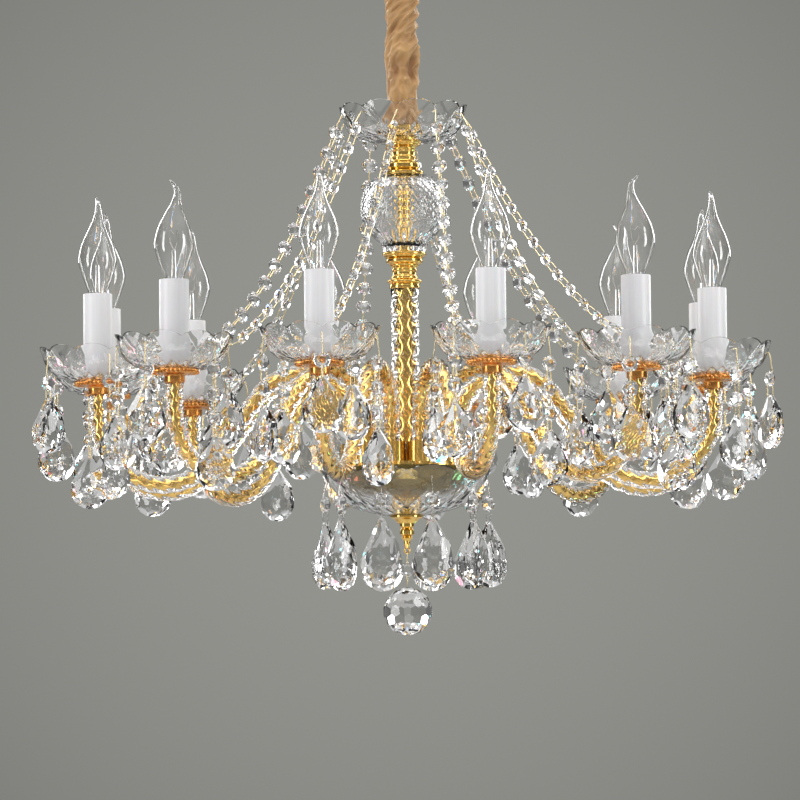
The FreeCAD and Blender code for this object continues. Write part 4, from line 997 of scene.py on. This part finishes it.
# name, azimuth and elevation in degrees, distance, width, height, radiance and colour of each panel
LIGHTS = (
    ("Top panel", 0, 82, 2.4, 2.0, 2.0, 2.4, WHITE),
    ("Left strip", -62, 8, 2.6, 0.55, 2.2, 7.0, WHITE),
    ("Right strip", 62, 8, 2.6, 0.55, 2.2, 7.0, WHITE),
    ("Left rim", -138, 22, 2.6, 0.6, 1.8, 6.0, WHITE),
    ("Right rim", 138, 22, 2.6, 0.6, 1.8, 6.0, WHITE),
    ("Low fill", 0, -52, 2.4, 1.2, 0.6, 2.4, WHITE),
    ("Blue glint", -28, 48, 2.6, 0.16, 0.5, 14.0, (0.25, 0.5, 1.0)),
    ("Amber glint", -18, 46, 2.6, 0.16, 0.5, 14.0, (1.0, 0.5, 0.15)),
    ("Cyan glint", 118, -30, 2.6, 0.2, 0.5, 10.0, (0.2, 0.9, 1.0)),
    ("Rose glint", -112, -26, 2.6, 0.2, 0.5, 10.0, (1.0, 0.35, 0.6)),
)


def area_light(name, azimuth, elevation, distance, width, height, radiance, tone):
    """Soft panel that looks at the chandelier's middle and isn't seen by the camera."""
    lamp = bpy.data.lights.new(name, "AREA")
    lamp.shape = "RECTANGLE"
    lamp.size, lamp.size_y = width, height
    lamp.energy = radiance * math.pi * width * height
    lamp.color = tone
    light = bpy.data.objects.new(name, lamp)
    bpy.context.scene.collection.objects.link(light)
    middle = Vector((0.0, 0.0, LIT_MIDDLE_Z))
    flat = distance * math.cos(math.radians(elevation))
    light.location = middle + polar(flat, azimuth, distance * math.sin(math.radians(elevation)))
    light.rotation_euler = (light.location - middle).to_track_quat("Z", "Y").to_euler()
    light.visible_camera = False


def studio_world():
    """Grey backdrop with a painted pool of light, lighter round the middle of the view and darker towards its
    edges, and darker sides and a lighter ceiling that only the glass and metal reflect.
    """
    world = bpy.data.worlds.new("Studio")
    bpy.context.scene.world = world
    world.use_nodes = True
    tree = world.node_tree
    tree.nodes.clear()
    grey = tuple(colours().backdrop)
    way = add(tree, "ShaderNodeTexCoord").outputs["Generated"]
    parts = add(tree, "ShaderNodeSeparateXYZ", {0: way})
    # Painted pool of light: seen by the camera, the backdrop is lighter round the middle of the view and
    # darker towards its edges
    ahead = vector_node(tree, "DOT_PRODUCT", way, (0.0, 0.9972, 0.075)).outputs["Value"]
    painted_pool = add(tree, "ShaderNodeMapRange", {"Value": ahead, "From Min": 0.9935, "From Max": 0.9998,
                                            "To Min": 0.0, "To Max": 1.0}).outputs[0]
    wall = blend_colours(tree, painted_pool, deeper(grey, 0.70), deeper(grey, 1.02))
    side = add(tree, "ShaderNodeMapRange", {"Value": math_node(tree, "ABSOLUTE", parts.outputs["X"]),
                                            "From Min": 0.5, "From Max": 0.8},
               interpolation_type="SMOOTHSTEP").outputs[0]
    above = add(tree, "ShaderNodeMapRange", {"Value": parts.outputs["Z"], "From Min": 0.35, "From Max": 0.8},
                interpolation_type="SMOOTHSTEP").outputs[0]
    near = add(tree, "ShaderNodeMapRange", {"Value": parts.outputs["Y"], "From Min": -0.2, "From Max": -0.8},
               interpolation_type="SMOOTHSTEP").outputs[0]
    around = blend_colours(tree, side, wall, (0.13, 0.13, 0.13))
    around = blend_colours(tree, near, around, (0.26, 0.26, 0.26))
    around = blend_colours(tree, above, around, (0.85, 0.85, 0.86))
    seen = add(tree, "ShaderNodeLightPath").outputs["Is Camera Ray"]
    shown = blend_colours(tree, seen, around, wall)
    light = add(tree, "ShaderNodeBackground", {"Color": shown, "Strength": 1.0})
    add(tree, "ShaderNodeOutputWorld", {"Surface": light.outputs[0]})


class CHANDELIER_OT_stage(bpy.types.Operator):
    """Camera, soft studio light, backdrop and floor"""
    bl_idname = "chandelier.stage"
    bl_label = "Stage"

    def execute(self, context):
        scene = context.scene
        scene.view_settings.view_transform = "Standard"
        studio_world()
        for values in LIGHTS:
            area_light(*values)
        corners = [Vector((x * FLOOR_HALF, y * FLOOR_HALF, FLOOR_Z))
                   for x, y in ((-1, -1), (1, -1), (1, 1), (-1, 1))]
        floor = mesh_of("floor", corners, [(0, 1, 2, 3)])
        material, _, shader = new_finish("Pale floor")
        set_values(shader, {"Base Color": (0.62, 0.62, 0.60, 1.0), "Roughness": 0.8})
        floor.materials.append(material)
        ground = bpy.data.objects.new("floor", floor)
        scene.collection.objects.link(ground)
        lens = bpy.data.cameras.new("Camera")
        lens.lens = 245.0
        lens.sensor_width = 36.0
        lens.clip_end = 100.0
        camera = bpy.data.objects.new("Camera", lens)
        scene.collection.objects.link(camera)
        camera.location = CAMERA_PLACE
        aim = CAMERA_AIM - camera.location
        camera.rotation_euler = (aim.to_track_quat("-Z", "Y").to_matrix()
                                 @ Matrix.Rotation(CAMERA_ROLL, 3, "Z")).to_euler()
        scene.camera = camera
        return {"FINISHED"}


class CHANDELIER_PT_pieces(bpy.types.Panel):
    """Sidebar panel with the chandelier's sizes, colours and pieces"""
    bl_idname = "CHANDELIER_PT_pieces"
    bl_label = "Crystal chandelier"
    bl_space_type = "VIEW_3D"
    bl_region_type = "UI"
    bl_category = "Chandelier"

    def draw(self, context):
        layout = self.layout
        for group in (context.scene.chandelier_sizes, context.scene.chandelier_colours):
            for name in group.__annotations__:
                layout.prop(group, name)
        for operator in OPERATORS:
            layout.operator(operator.bl_idname)


OPERATORS = (CHANDELIER_OT_stage, CHANDELIER_OT_fittings, CHANDELIER_OT_sleeve, CHANDELIER_OT_bowls,
             CHANDELIER_OT_urn, CHANDELIER_OT_column, CHANDELIER_OT_arms, CHANDELIER_OT_galleries,
             CHANDELIER_OT_dishes, CHANDELIER_OT_candles, CHANDELIER_OT_lamps, CHANDELIER_OT_crystals)
CLASSES = (ChandelierSizes, ChandelierColours, CHANDELIER_PT_pieces) + OPERATORS


def register():
    for made in CLASSES:
        bpy.utils.register_class(made)
    bpy.types.Scene.chandelier_sizes = PointerProperty(type=ChandelierSizes)
    bpy.types.Scene.chandelier_colours = PointerProperty(type=ChandelierColours)


def unregister():
    del bpy.types.Scene.chandelier_colours
    del bpy.types.Scene.chandelier_sizes
    for made in reversed(CLASSES):
        bpy.utils.unregister_class(made)


def main():
    register()
    for operator in OPERATORS:
        getattr(bpy.ops.chandelier, operator.bl_idname.split(".")[1])()
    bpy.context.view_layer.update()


if __name__ == "__main__":
    main()
